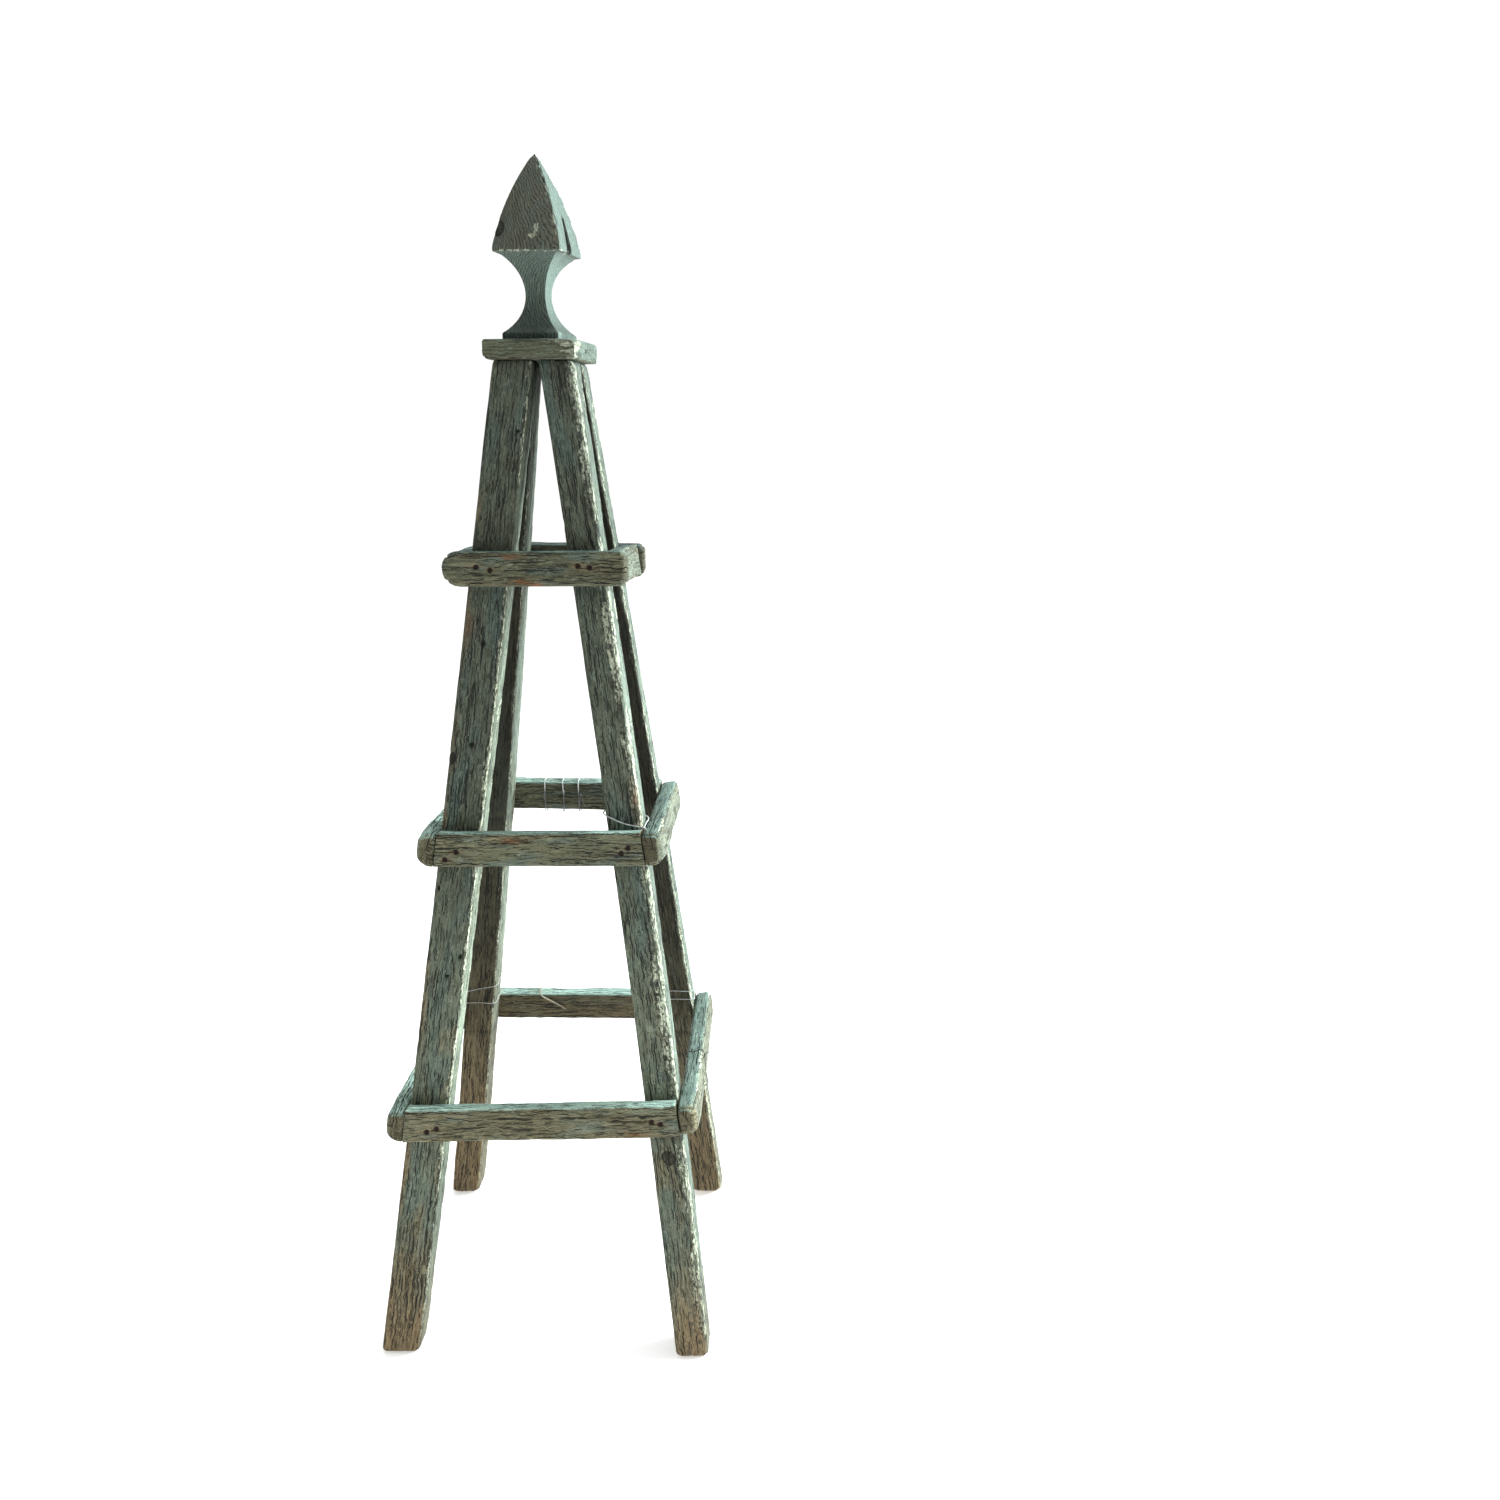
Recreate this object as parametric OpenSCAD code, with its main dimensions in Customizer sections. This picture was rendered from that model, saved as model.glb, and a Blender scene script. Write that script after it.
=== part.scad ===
// Garden obelisk of weathered, painted softwood. Four straight legs lean in to a
// point, three rings of rails are nailed round them, a square cap plate covers the
// leg tops, and a carved finial stands in a bored hole in the cap, held by a nail.
// A few wire ties from climbing plants are still on it.
// Origin: the middle of the footprint on the ground. +Z is up and -Y is the front.

/* [Overall] */
// Width across the outer faces of the feet, both ways
foot_spread = 460; // [400:5:560]
// Width across the outer faces of the leg tops, both ways
top_spread = 108; // [106:1:140]
// Height of the leg tops above the ground
leg_height = 1347; // [1250:1:1800]

/* [Legs] */
// Wider side of the leg stock
leg_wide = 53; // [44:1:56]
// Narrower side of the leg stock
leg_narrow = 46; // [40:1:48]

/* [Rails] */
// Height of a rail's face
rail_h = 46; // [40:1:54]
// Thickness of a rail
rail_t = 25; // [18:1:30]
// Radius worn on the free ends of the rails
rail_end_r = 12; // [4:1:18]
// Open joint where a rail stops against its neighbours
butt_gap = 1; // [0.5:0.5:3]
// How far the upper ring's front and rear rails pass the side rails
upper_overhang = 6; // [0:1:12]
// Lower ring: bottom edge at the front left, front right, rear right and rear left
lower_ring = [313, 325, 317, 315]; // [290:1:350]
// Middle ring: bottom edge at the same four corners
middle_ring = [690, 693, 686, 688]; // [660:1:720]
// Upper ring: bottom edge at the same four corners
upper_ring = [1057, 1058, 1052, 1054]; // [1030:1:1090]

/* [Cap plate] */
// Side of the square cap plate
cap_w = 126; // [120:1:160]
// Thickness of the cap plate
cap_t = 26; // [20:1:35]
// Turn of the cap plate on the legs, in degrees clockwise from above
cap_turn = 3; // [0:1:8]

/* [Finial] */
// Half width of the finial's foot
finial_foot = 39; // [34:1:40]
// Half width of the finial at its widest, under the head
finial_head = 46.5; // [40:0.5:50]
// Half width of the finial's neck
finial_neck = 14; // [10:0.5:18]
// Height of the finial above the cap plate
finial_h = 232; // [215:1:260]
// Turn of the finial, in degrees clockwise from above
finial_turn = 7; // [0:1:12]
// Diameter of the round tenon under the finial
tenon_d = 28; // [20:1:32]

/* [Nails] */
// Diameter of a nail's shank
nail_d = 3.2; // [2.5:0.1:4]
// Diameter of a nail's head
nail_head_d = 7; // [5:0.5:9]
// Thickness of a nail's head
nail_head_t = 1.4; // [1:0.1:2]
// Length of the nails through the rails
rail_nail = 52; // [42:1:55]
// Length of the nails through the cap plate
cap_nail = 70; // [50:1:90]

/* [Wire ties] */
// Diameter of the tie wire
wire_d = 2; // [1.2:0.1:3]
// Slack between a tie and the wood inside it
wire_slack = 1; // [0.9:0.1:2]

/* [Hidden] */
$fn = 48;

FRONT = 0;
RIGHT = 1;
REAR = 2;
LEFT = 3;
LOWER = 0;
MIDDLE = 1;
UPPER = 2;
slope = atan((foot_spread - top_spread) / 2 / leg_height);
reach = 2 * (leg_height + foot_spread);
rings = [lower_ring, middle_ring, upper_ring];
cap_top = leg_height + cap_t;
cut_past = 1;
tenon_gap = 2;
tenon_len = cap_t - tenon_gap;

// The finial's outline, up from the cap plate
foot_plinth = 7;
lip_low = 108;
lip_high = 114;
tip_half = 2;
neck_z = (foot_plinth + lip_low) / 2;
neck_r = 60;
neck_fn = 180;
head_lean = 11;
head_fn = 720;

// Nails at each crossing, from its middle: [along the rail, up], first the pair at
// the rail's left-hand leg seen from outside, then the pair at its right-hand leg
front_spots = [[[[5, -8], [18, -4]], [[-14, 0], [-2, -3]]],
               [[[-13, -13], [2, -3]], [[-6, -5], [3, 2]]],
               [[[-12, 2], [6, -2]], [[-9, 3], [6, 1]]]];
side_spots = [[[-7, 15], [8, 10]], [[-8, 15], [7, 11]]];

// Ties on the rails as [along the rail, lean], ties on the legs as [height, lean]
middle_rear_ties = [[43, 0], [18, 0], [-9, 0]];
lower_right_ties = [[-44, 8]];
rear_left_ties = [[396, 12], [372, 0]];
rear_right_ties = [[392, 0], [374, 6]];
front_right_ties = [[749, 20]];

// The stem over the lower rear rail: where, its slant, and its two free lengths
hook_along = 70;
hook_lean = 56;
hook_inner = 48;
hook_outer = 25;

// Distance from the middle out to the legs' outer faces at height z
function half_at(z) = foot_spread / 2 - z * tan(slope);
function side_low(ring, side) = (rings[ring][side] + rings[ring][(side + 1) % 4]) / 2;
function side_rise(ring, side) = rings[ring][(side + 1) % 4] - rings[ring][side];
function runs_long(ring, side) = (ring == UPPER) ? side % 2 == 0 : side % 2 == 1;
function spots(ring, side) = (side % 2 == 0) ? front_spots[ring] : side_spots;

// Places children on a ring's board: X along it, Y into the legs, Z up its face
module on_board(ring, side) {
    low = side_low(ring, side);
    rotate([0, 0, 90 * side])
        translate([0, -half_at(low), low])
            rotate([-slope, 0, 0])
                rotate([0, -atan(side_rise(ring, side) / 2 / half_at(low)), 0])
                    children();
}

// Places children at every nail of a board, +Z along the nail from its head
module at_nails(ring, side) {
    half = half_at(side_low(ring, side) + rail_h / 2);
    middles = [-half + leg_wide / 2, half - leg_narrow / 2];
    on_board(ring, side)
        for (end = [0, 1], spot = spots(ring, side)[end])
            translate([middles[end] + spot[0], -rail_t, rail_h / 2 + spot[1]])
                rotate([-90, 0, 0])
                    children();
}

module nail(length) {
    cylinder(d = nail_d, h = length);
    cylinder(d = nail_head_d, h = nail_head_t);
}

module ring_nails(ring) {
    color("sienna")
        for (side = [FRONT:LEFT])
            at_nails(ring, side) nail(rail_nail);
}

// One straight leg, cut to the planes of the obelisk's front and left faces
module leg_stock() {
    intersection() {
        translate([-reach / 2, -foot_spread / 2, 0])
            rotate([-slope, 0, 0])
                translate([0, 0, -reach / 2])
                    cube([reach, leg_narrow, reach]);
        translate([-foot_spread / 2, -reach / 2, 0])
            rotate([0, slope, 0])
                translate([0, 0, -reach / 2])
                    cube([leg_wide, reach, reach]);
        translate([-reach / 2, -reach / 2, 0])
            cube([reach, reach, leg_height]);
    }
}

module leg(corner) {
    color("slategray")
        difference() {
            rotate([0, 0, 90 * corner]) leg_stock();
            for (ring = [LOWER:UPPER], side = [corner, (corner + 3) % 4])
                at_nails(ring, side) cylinder(d = nail_d, h = rail_nail);
            at_cap_nails() cylinder(d = nail_d, h = cap_nail);
        }
}

module round_ended_face(length) {
    for (corner = [[rail_end_r, rail_end_r], [length - rail_end_r, rail_end_r],
            [rail_end_r, rail_h - rail_end_r], [length - rail_end_r, rail_h - rail_end_r]])
        translate(corner) circle(r = rail_end_r);
    translate([rail_end_r, 0]) square([length - 2 * rail_end_r, rail_h]);
    translate([0, rail_end_r]) square([length, rail_h - 2 * rail_end_r]);
}

// A rail that covers the ends of its neighbours
module long_board(ring, side) {
    overhang = (ring == UPPER) ? upper_overhang : 0;
    length = 2 * (half_at(side_low(ring, side) + rail_h / 2) + rail_t + overhang);
    on_board(ring, side)
        translate([-length / 2, 0, 0])
            rotate([90, 0, 0])
                linear_extrude(rail_t) round_ended_face(length);
}

// A rail that stops between its neighbours, its ends cut to their lean
module short_board(ring, side) {
    foot = half_at(0) - butt_gap;
    top = half_at(leg_height) - butt_gap;
    intersection() {
        on_board(ring, side)
            translate([-foot_spread / 2, -rail_t, 0])
                cube([foot_spread, rail_t, rail_h]);
        rotate([0, 0, 90 * side])
            rotate([90, 0, 0])
                linear_extrude(2 * foot_spread, center = true)
                    polygon([[-foot, 0], [foot, 0], [top, leg_height], [-top, leg_height]]);
    }
}

module rail(ring, side) {
    color("dimgray")
        difference() {
            if (runs_long(ring, side)) long_board(ring, side);
            else short_board(ring, side);
            at_nails(ring, side) nail(rail_nail);
        }
}

// Places children at the four nails down into the leg tops, +Z along the nail
module at_cap_nails() {
    inset = leg_wide / 2;
    for (corner = [0:3])
        rotate([0, 0, 90 * corner])
            translate([inset - top_spread / 2, inset - top_spread / 2, cap_top])
                rotate([180, 0, 0])
                    children();
}

// Places children at the nail through the cap's right-hand edge, into the tenon
module at_finial_pin() {
    rotate([0, 0, -cap_turn])
        translate([cap_w / 2, 0, leg_height + cap_t / 2])
            rotate([0, -90, 0])
                children();
}

module cap_plate() {
    color("darkolivegreen")
        difference() {
            rotate([0, 0, -cap_turn])
                translate([-cap_w / 2, -cap_w / 2, leg_height])
                    cube([cap_w, cap_w, cap_t]);
            translate([0, 0, leg_height - cut_past])
                cylinder(d = tenon_d, h = cap_t + 2 * cut_past);
            at_cap_nails() nail(cap_nail);
            at_finial_pin() nail(cap_nail);
        }
}

// Right-hand half of the finial's outline: foot, hollow neck, lip, pointed head
module finial_half() {
    head_rise = finial_h - lip_high;
    head_run = finial_head - tip_half;
    chord_lean = atan(head_run / head_rise);
    chord = sqrt(head_rise * head_rise + head_run * head_run);
    head_r = chord / 2 / sin(chord_lean - head_lean);
    square([finial_foot, foot_plinth]);
    difference() {
        translate([0, foot_plinth]) square([finial_head, lip_low - foot_plinth]);
        translate([finial_neck + neck_r, neck_z]) circle(r = neck_r, $fn = neck_fn);
        translate([finial_foot, 0]) square([finial_head, neck_z]);
    }
    translate([0, lip_low]) square([finial_head, lip_high - lip_low]);
    intersection() {
        translate([0, lip_high]) square([finial_head, head_rise]);
        translate([finial_head - head_r * cos(head_lean), lip_high - head_r * sin(head_lean)])
            circle(r = head_r, $fn = head_fn);
    }
}

module finial_outline() {
    rotate([90, 0, 0])
        linear_extrude(3 * finial_head, center = true) {
            finial_half();
            mirror([1, 0]) finial_half();
        }
}

module finial() {
    color("cadetblue")
        difference() {
            union() {
                translate([0, 0, cap_top])
                    rotate([0, 0, -finial_turn])
                        intersection() {
                            finial_outline();
                            rotate([0, 0, 90]) finial_outline();
                        }
                translate([0, 0, cap_top - tenon_len])
                    cylinder(d = tenon_d, h = tenon_len + foot_plinth);
            }
            at_finial_pin() cylinder(d = nail_d, h = cap_nail);
        }
}

module finial_pin() {
    color("sienna") at_finial_pin() nail(cap_nail);
}

module cap_nails() {
    color("sienna") at_cap_nails() nail(cap_nail);
}

// A closed band of wire in the XY plane, inside size a by b, rounded outside
module wire_loop(a, b) {
    linear_extrude(wire_d, center = true)
        difference() {
            union() {
                square([a + 2 * wire_d, b], center = true);
                square([a, b + 2 * wire_d], center = true);
                for (x = [-a / 2, a / 2], y = [-b / 2, b / 2])
                    translate([x, y]) circle(r = wire_d);
            }
            square([a, b], center = true);
        }
}

// Places children square to a leg at height z, X and Y along the leg's two sides
module on_leg(corner, z) {
    rotate([0, 0, 90 * corner])
        translate([leg_wide / 2 - half_at(z), leg_narrow / 2 - half_at(z), z])
            rotate([-slope, slope, 0])
                children();
}

// An open band of wire over an edge, X down its two free lengths and Y across
module wire_hook(inner, outer, across) {
    half = across / 2;
    linear_extrude(wire_d, center = true)
        difference() {
            union() {
                translate([-wire_d, -half]) square([wire_d, across]);
                translate([0, half]) square([inner, wire_d]);
                translate([0, -half - wire_d]) square([outer, wire_d]);
                for (y = [-half, half])
                    translate([0, y]) circle(r = wire_d);
            }
            translate([0, -half]) square([inner, across]);
        }
}

module leg_ties(corner, spots) {
    fit = 2 * wire_slack;
    color("silver")
        for (spot = spots)
            on_leg(corner, spot[0])
                rotate([spot[1], 0, 0])
                    wire_loop(leg_wide + fit, leg_narrow / cos(spot[1]) + fit);
}

module rail_ties(ring, side, spots) {
    fit = 2 * wire_slack;
    color("silver")
        on_board(ring, side)
            for (spot = spots)
                translate([spot[0], -rail_t / 2, rail_h / 2])
                    rotate([0, spot[1], 0])
                        rotate([0, 90, 0])
                            wire_loop(rail_h / cos(spot[1]) + fit, rail_t + fit);
}

// A stiff stem hooked over the lower rear rail, slanting down both its faces
module lower_rear_rail_hook() {
    lift = wire_slack + wire_d / 2;
    color("tan")
        on_board(LOWER, REAR)
            translate([hook_along, -rail_t / 2, rail_h + lift])
                rotate([0, hook_lean, 0])
                    rotate([0, 90, 0])
                        wire_hook(hook_inner, hook_outer, rail_t + 2 * wire_slack);
}

leg(FRONT);  // front_left_leg
leg(RIGHT);  // front_right_leg
leg(REAR);  // rear_right_leg
leg(LEFT);  // rear_left_leg
rail(LOWER, FRONT);  // lower_front_rail
rail(LOWER, RIGHT);  // lower_right_rail
rail(LOWER, REAR);  // lower_rear_rail
rail(LOWER, LEFT);  // lower_left_rail
rail(MIDDLE, FRONT);  // middle_front_rail
rail(MIDDLE, RIGHT);  // middle_right_rail
rail(MIDDLE, REAR);  // middle_rear_rail
rail(MIDDLE, LEFT);  // middle_left_rail
rail(UPPER, FRONT);  // upper_front_rail
rail(UPPER, RIGHT);  // upper_right_rail
rail(UPPER, REAR);  // upper_rear_rail
rail(UPPER, LEFT);  // upper_left_rail
cap_plate();
finial();
finial_pin();
cap_nails();
ring_nails(LOWER);  // lower_ring_nails
ring_nails(MIDDLE);  // middle_ring_nails
ring_nails(UPPER);  // upper_ring_nails
rail_ties(MIDDLE, REAR, middle_rear_ties);  // middle_rear_rail_ties
leg_ties(LEFT, rear_left_ties);  // rear_left_leg_ties
leg_ties(REAR, rear_right_ties);  // rear_right_leg_ties
leg_ties(RIGHT, front_right_ties);  // front_right_leg_tie
rail_ties(LOWER, RIGHT, lower_right_ties);  // lower_right_rail_tie
lower_rear_rail_hook();
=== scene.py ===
"""Garden obelisk of weathered, painted softwood: the looks, on top of the CAD frame."""

import math

import bpy
import numpy as np
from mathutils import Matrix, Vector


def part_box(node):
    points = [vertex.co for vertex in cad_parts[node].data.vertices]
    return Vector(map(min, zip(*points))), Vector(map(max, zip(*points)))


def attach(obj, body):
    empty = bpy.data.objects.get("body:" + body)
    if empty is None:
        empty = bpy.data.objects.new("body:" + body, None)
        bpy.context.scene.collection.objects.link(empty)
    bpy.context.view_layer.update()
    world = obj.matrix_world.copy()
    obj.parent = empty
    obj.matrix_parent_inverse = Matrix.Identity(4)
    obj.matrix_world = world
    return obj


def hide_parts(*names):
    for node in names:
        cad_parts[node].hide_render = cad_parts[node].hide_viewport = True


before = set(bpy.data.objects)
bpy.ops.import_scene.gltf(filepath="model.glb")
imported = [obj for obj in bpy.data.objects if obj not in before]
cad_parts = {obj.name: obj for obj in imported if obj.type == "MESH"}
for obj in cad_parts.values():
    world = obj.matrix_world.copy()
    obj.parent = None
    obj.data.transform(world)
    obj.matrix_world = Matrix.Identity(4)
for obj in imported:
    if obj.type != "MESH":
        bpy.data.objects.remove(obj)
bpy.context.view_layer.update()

# Lengths below are in millimetres, and MM turns them into metres.
MM = 0.001
LEG_WIDE = 53.0
LEG_NARROW = 46.0
RAIL_H = 46.0
RAIL_T = 25.0
BUTT_GAP = 1.0
UPPER_OVERHANG = 6.0
LOWER_RING = (313.0, 325.0, 317.0, 315.0)
MIDDLE_RING = (690.0, 693.0, 686.0, 688.0)
UPPER_RING = (1057.0, 1058.0, 1052.0, 1054.0)
CAP_W = 126.0
CAP_TURN = 3.0
FINIAL_TURN = 7.0
TENON_R = 14.0
TENON_LEN = 24.0
NAIL_R = 1.6
NAIL_HEAD_R = 3.5
RAIL_NAIL = 52.0
CAP_NAIL = 70.0

RINGS = {"lower": LOWER_RING, "middle": MIDDLE_RING, "upper": UPPER_RING}
SIDES = ("front", "right", "rear", "left")
CORNERS = ("front_left", "front_right", "rear_right", "rear_left")

FOOT_HALF = -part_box("front_left_leg")[0].x / MM
LEG_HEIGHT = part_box("front_left_leg")[1].z / MM
TOP_HALF = 54.0
CAP_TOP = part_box("cap_plate")[1].z / MM
CAP_T = CAP_TOP - LEG_HEIGHT
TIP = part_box("finial")[1].z / MM
SLOPE = math.atan((FOOT_HALF - TOP_HALF) / LEG_HEIGHT)

# How far each leg has bowed and its top has moved to the right, in CORNERS order
BOW = (1.8, 8.0, 4.5, 4.0)
TOP_SHIFT = (1.6, -1.0, 3.2, 3.4)
FINIAL_LEAN = 1.2

# Nails at each crossing, as in the CAD: along the rail and up, from its middle
FRONT_SPOTS = {
    "lower": (((5, -8), (18, -4)), ((-14, 0), (-2, -3))),
    "middle": (((-13, -13), (2, -3)), ((-6, -5), (3, 2))),
    "upper": (((-12, 2), (6, -2)), ((-9, 3), (6, 1))),
}
SIDE_SPOTS = (((-7, 15), (8, 10)), ((-8, 15), (7, 11)))


# ---- noise and masks
def noise_tables():
    rng = np.random.default_rng(11)
    turns = rng.normal(size=(256, 3))
    turns /= np.linalg.norm(turns, axis=1, keepdims=True)
    return rng.permutation(256).astype(np.int32), turns.astype(np.float32)


PERM, TURNS = noise_tables()


def noise(points, size, seed):
    """Smooth noise, about -1 to 1, in cells of the given size."""
    q = points / np.array(size, dtype=np.float64) + seed * 7.137
    cell = np.floor(q)
    f = (q - cell).astype(np.float32)
    cell = cell.astype(np.int32)
    w = f * f * f * (f * (f * 6 - 15) + 10)
    total = np.zeros(len(q), dtype=np.float32)
    for dx in (0, 1):
        hx = PERM[(cell[:, 0] + dx) & 255]
        wx = w[:, 0] if dx else 1 - w[:, 0]
        for dy in (0, 1):
            hy = PERM[(hx + cell[:, 1] + dy) & 255]
            wy = w[:, 1] if dy else 1 - w[:, 1]
            for dz in (0, 1):
                h = PERM[(hy + cell[:, 2] + dz) & 255]
                wz = w[:, 2] if dz else 1 - w[:, 2]
                g = TURNS[h]
                dot = g[:, 0] * (f[:, 0] - dx) + g[:, 1] * (f[:, 1] - dy)
                dot += g[:, 2] * (f[:, 2] - dz)
                total += wx * wy * wz * dot
    return total * 1.7


def ramp(value, low, high):
    """0 below low, 1 above high, smooth between."""
    t = np.clip((value - low) / (high - low), 0, 1)
    return t * t * (3 - 2 * t)


# ---- grids
def spaced(length, step):
    return np.linspace(-length / 2, length / 2, max(2, round(length / step)) + 1)


def face_quads(keys):
    return np.stack([keys[:-1, :-1], keys[1:, :-1], keys[1:, 1:], keys[:-1, 1:]], -1).reshape(-1, 4)


def shell(xs, ys, zs):
    """The surface of a box as one welded grid: its points and its faces."""
    nx, ny, nz = len(xs), len(ys), len(zs)
    i, j, k = np.arange(nx), np.arange(ny), np.arange(nz)

    def keys(a, b, c):
        return (a * ny + b) * nz + c

    sheets = [keys(i[:, None], j[None, :], end) for end in (0, nz - 1)]
    sheets += [keys(end, j[:, None], k[None, :]) for end in (0, nx - 1)]
    sheets += [keys(i[None, :], end, k[:, None]) for end in (0, ny - 1)]
    # The low end of each pair is turned over, so that every face looks out
    faces = np.concatenate([face_quads(sheet)[:, ::1 if n % 2 else -1] for n, sheet in enumerate(sheets)])
    used, quads = np.unique(faces, return_inverse=True)
    quads = quads.reshape(-1, 4)
    a, rest = np.divmod(used, ny * nz)
    b, c = np.divmod(rest, nz)
    return np.stack([xs[a], ys[b], zs[c]], -1), quads


def normals_of(points, quads):
    d1 = points[quads[:, 2]] - points[quads[:, 0]]
    d2 = points[quads[:, 3]] - points[quads[:, 1]]
    flat = np.cross(d1, d2)
    out = np.zeros_like(points)
    for axis in range(3):
        for corner in range(4):
            out[:, axis] += np.bincount(quads[:, corner], flat[:, axis], len(points))
    return out / np.maximum(np.linalg.norm(out, axis=1, keepdims=True), 1e-9)


def rounded(points, half, radius):
    """Rounds the edges of a box's surface grid, with a radius for each point."""
    limit = np.array(half) - radius[:, None]
    inner = np.clip(points, -limit, limit)
    d = points - inner
    length = np.maximum(np.linalg.norm(d, axis=1, keepdims=True), 1e-9)
    return inner + d / length * radius[:, None]


def round_plan(points, half_x, half_z, radius):
    """Rounds the four corners of a board's face, with one radius at each corner."""
    x, z = points[:, 0], points[:, 2]
    for sx in (-1, 1):
        for sz in (-1, 1):
            r = radius[(sx > 0) * 2 + (sz > 0)]
            dx = sx * x - (half_x - r)
            dz = sz * z - (half_z - r)
            hit = (dx > 0) & (dz > 0)
            shrink = np.maximum(dx, dz) / np.maximum(np.hypot(dx, dz), 1e-9)
            x[hit] = sx * (half_x - r + dx * shrink)[hit]
            z[hit] = sz * (half_z - r + dz * shrink)[hit]
    return points


# ---- wood
class Wood:
    """A stick's grain: rings round a pith beside it, waved along its length."""

    def __init__(self, seed, pith=(25.0, 60.0), wave=4.0, knots=()):
        self.seed = seed
        self.pith = pith
        self.wave = wave
        self.knots = knots

    def coordinates(self, p):
        """Distance from the pith, distance round it, and distance along the grain."""
        s = self.seed
        bend_x = self.wave * noise(p, (90, 90, 330), s) + 0.8 * noise(p, (25, 25, 90), s + 1)
        bend_y = self.wave * noise(p, (90, 90, 330), s + 2) + 0.8 * noise(p, (25, 25, 90), s + 3)
        x = p[:, 0] + bend_x - self.pith[0]
        y = p[:, 1] + bend_y - self.pith[1]
        rho = np.hypot(x, y)
        around = np.arctan2(y, x) * math.hypot(*self.pith)
        for kx, ky, kz, size in self.knots:
            off = (p - np.array([kx, ky, kz])) / np.array([size, size, size * 1.9])
            near = np.exp(-0.5 * (off ** 2).sum(1))
            rho = rho + 0.9 * size * near
        return np.stack([rho, around, p[:, 2]], -1)


def weather(p, normal, wood, worn, depth=1.0, cracked=1.0):
    """How far in the surface has worn at each point, and its cracks and pits, which the material paints dark:
    partly dirt, partly painted shade.
    """
    g = wood.coordinates(p)
    s = wood.seed
    furrows = 0.3 * noise(g, (6, 9, 150), s + 4) + 0.36 * noise(g, (2.6, 3.4, 70), s + 5)
    sag = 0.8 * noise(p, (60, 60, 120), s + 6) + 0.16 * noise(p, (20, 20, 38), s + 7)
    lines = np.exp(-(noise(g, (8, 12, 210), s + 8) / 0.04) ** 2)
    broken = ramp(noise(g, (14, 14, 110), s + 9), 0.08, 0.4)
    crack = 0.8 * lines * broken * cracked
    pits = ramp(noise(g, (2.8, 3.2, 12), s + 10), 0.34, 0.6) * ramp(worn, 0.4, 0.9)
    flaked = ramp(noise(p, (8, 8, 24), s + 30) + 0.9 * worn, 0.62, 0.7)
    lost = 0.35 + 0.6 * furrows + 0.5 * sag + 1.3 * crack + 0.9 * pits + 0.55 * flaked
    across_end = ramp(np.abs(normal[:, 2]), 0.6, 0.95)
    end_chips = 0.6 * noise(p, (4, 4, 4), s + 12)
    lost = lost * (1 - 0.6 * across_end) + end_chips * across_end * 0.7
    for kx, ky, kz, size in wood.knots:
        off = (p - np.array([kx, ky, kz])) / np.array([size, size, size * 1.2])
        r = np.sqrt((off ** 2).sum(1)) + 0.07 * noise(p, (5, 5, 6), s + 11)
        rim = np.exp(-((r - 0.95) / 0.2) ** 2)
        inside = 1 - ramp(r, 0.75, 1.0)
        over = off[:, 1] if abs(kx) > abs(ky) else off[:, 0]
        check = np.exp(-(over / 0.2) ** 2) * inside
        lost = lost + 0.9 * rim + 1.4 * check - 0.3 * inside
        crack = crack * (1 - inside)
        crack = np.maximum(crack, np.maximum(0.85 * rim, 1.0 * check))
        crack = np.maximum(crack, 0.62 * inside)
    return np.maximum(lost, -0.35) * depth, np.clip(crack, 0, 1), pits, g


def dimple(p, centre, radius):
    r = np.linalg.norm(p - np.array(centre), axis=1)
    return 1 - ramp(r, radius * 0.75, radius * 1.35)


# ---- places
def half_at(z):
    return FOOT_HALF - z * math.tan(SLOPE)


def turned(p, degrees):
    c, s = math.cos(math.radians(degrees)), math.sin(math.radians(degrees))
    return np.stack([p[:, 0] * c - p[:, 1] * s, p[:, 0] * s + p[:, 1] * c, p[:, 2]], -1)


def settled(p):
    """The small bow and lean that the whole obelisk has taken."""
    z = p[:, 2]
    half = half_at(np.clip(z, 0, LEG_HEIGHT))
    sx = np.clip(p[:, 0] / half, -1.3, 1.3)
    sy = np.clip(p[:, 1] / half, -1.3, 1.3)
    share = [(1 - sx) * (1 - sy), (1 + sx) * (1 - sy), (1 + sx) * (1 + sy), (1 - sx) * (1 + sy)]
    u = np.clip(z / LEG_HEIGHT, 0, 1)
    move = sum(w / 4 * (b * 4 * u * (1 - u) + t * u) for w, b, t in zip(share, BOW, TOP_SHIFT))
    above = np.clip((z - CAP_TOP) / (TIP - CAP_TOP), 0, 1)
    out = p.copy()
    out[:, 0] += move + FINIAL_LEAN * above
    return out


def ring_low(ring, side):
    heights = RINGS[ring]
    return (heights[side] + heights[(side + 1) % 4]) / 2


def ring_tilt(ring, side):
    heights = RINGS[ring]
    rise = heights[(side + 1) % 4] - heights[side]
    return math.atan(rise / 2 / half_at(ring_low(ring, side)))


def on_board(p, ring, side):
    """From a board's own frame (along, through, up its face) to the object's."""
    low = ring_low(ring, side)
    t = ring_tilt(ring, side)
    x = p[:, 0] * math.cos(t) - p[:, 2] * math.sin(t)
    z = p[:, 0] * math.sin(t) + p[:, 2] * math.cos(t)
    y = p[:, 1] * math.cos(SLOPE) + z * math.sin(SLOPE)
    z = -p[:, 1] * math.sin(SLOPE) + z * math.cos(SLOPE)
    return turned(np.stack([x, y - half_at(low), z + low], -1), 90 * side)


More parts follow.
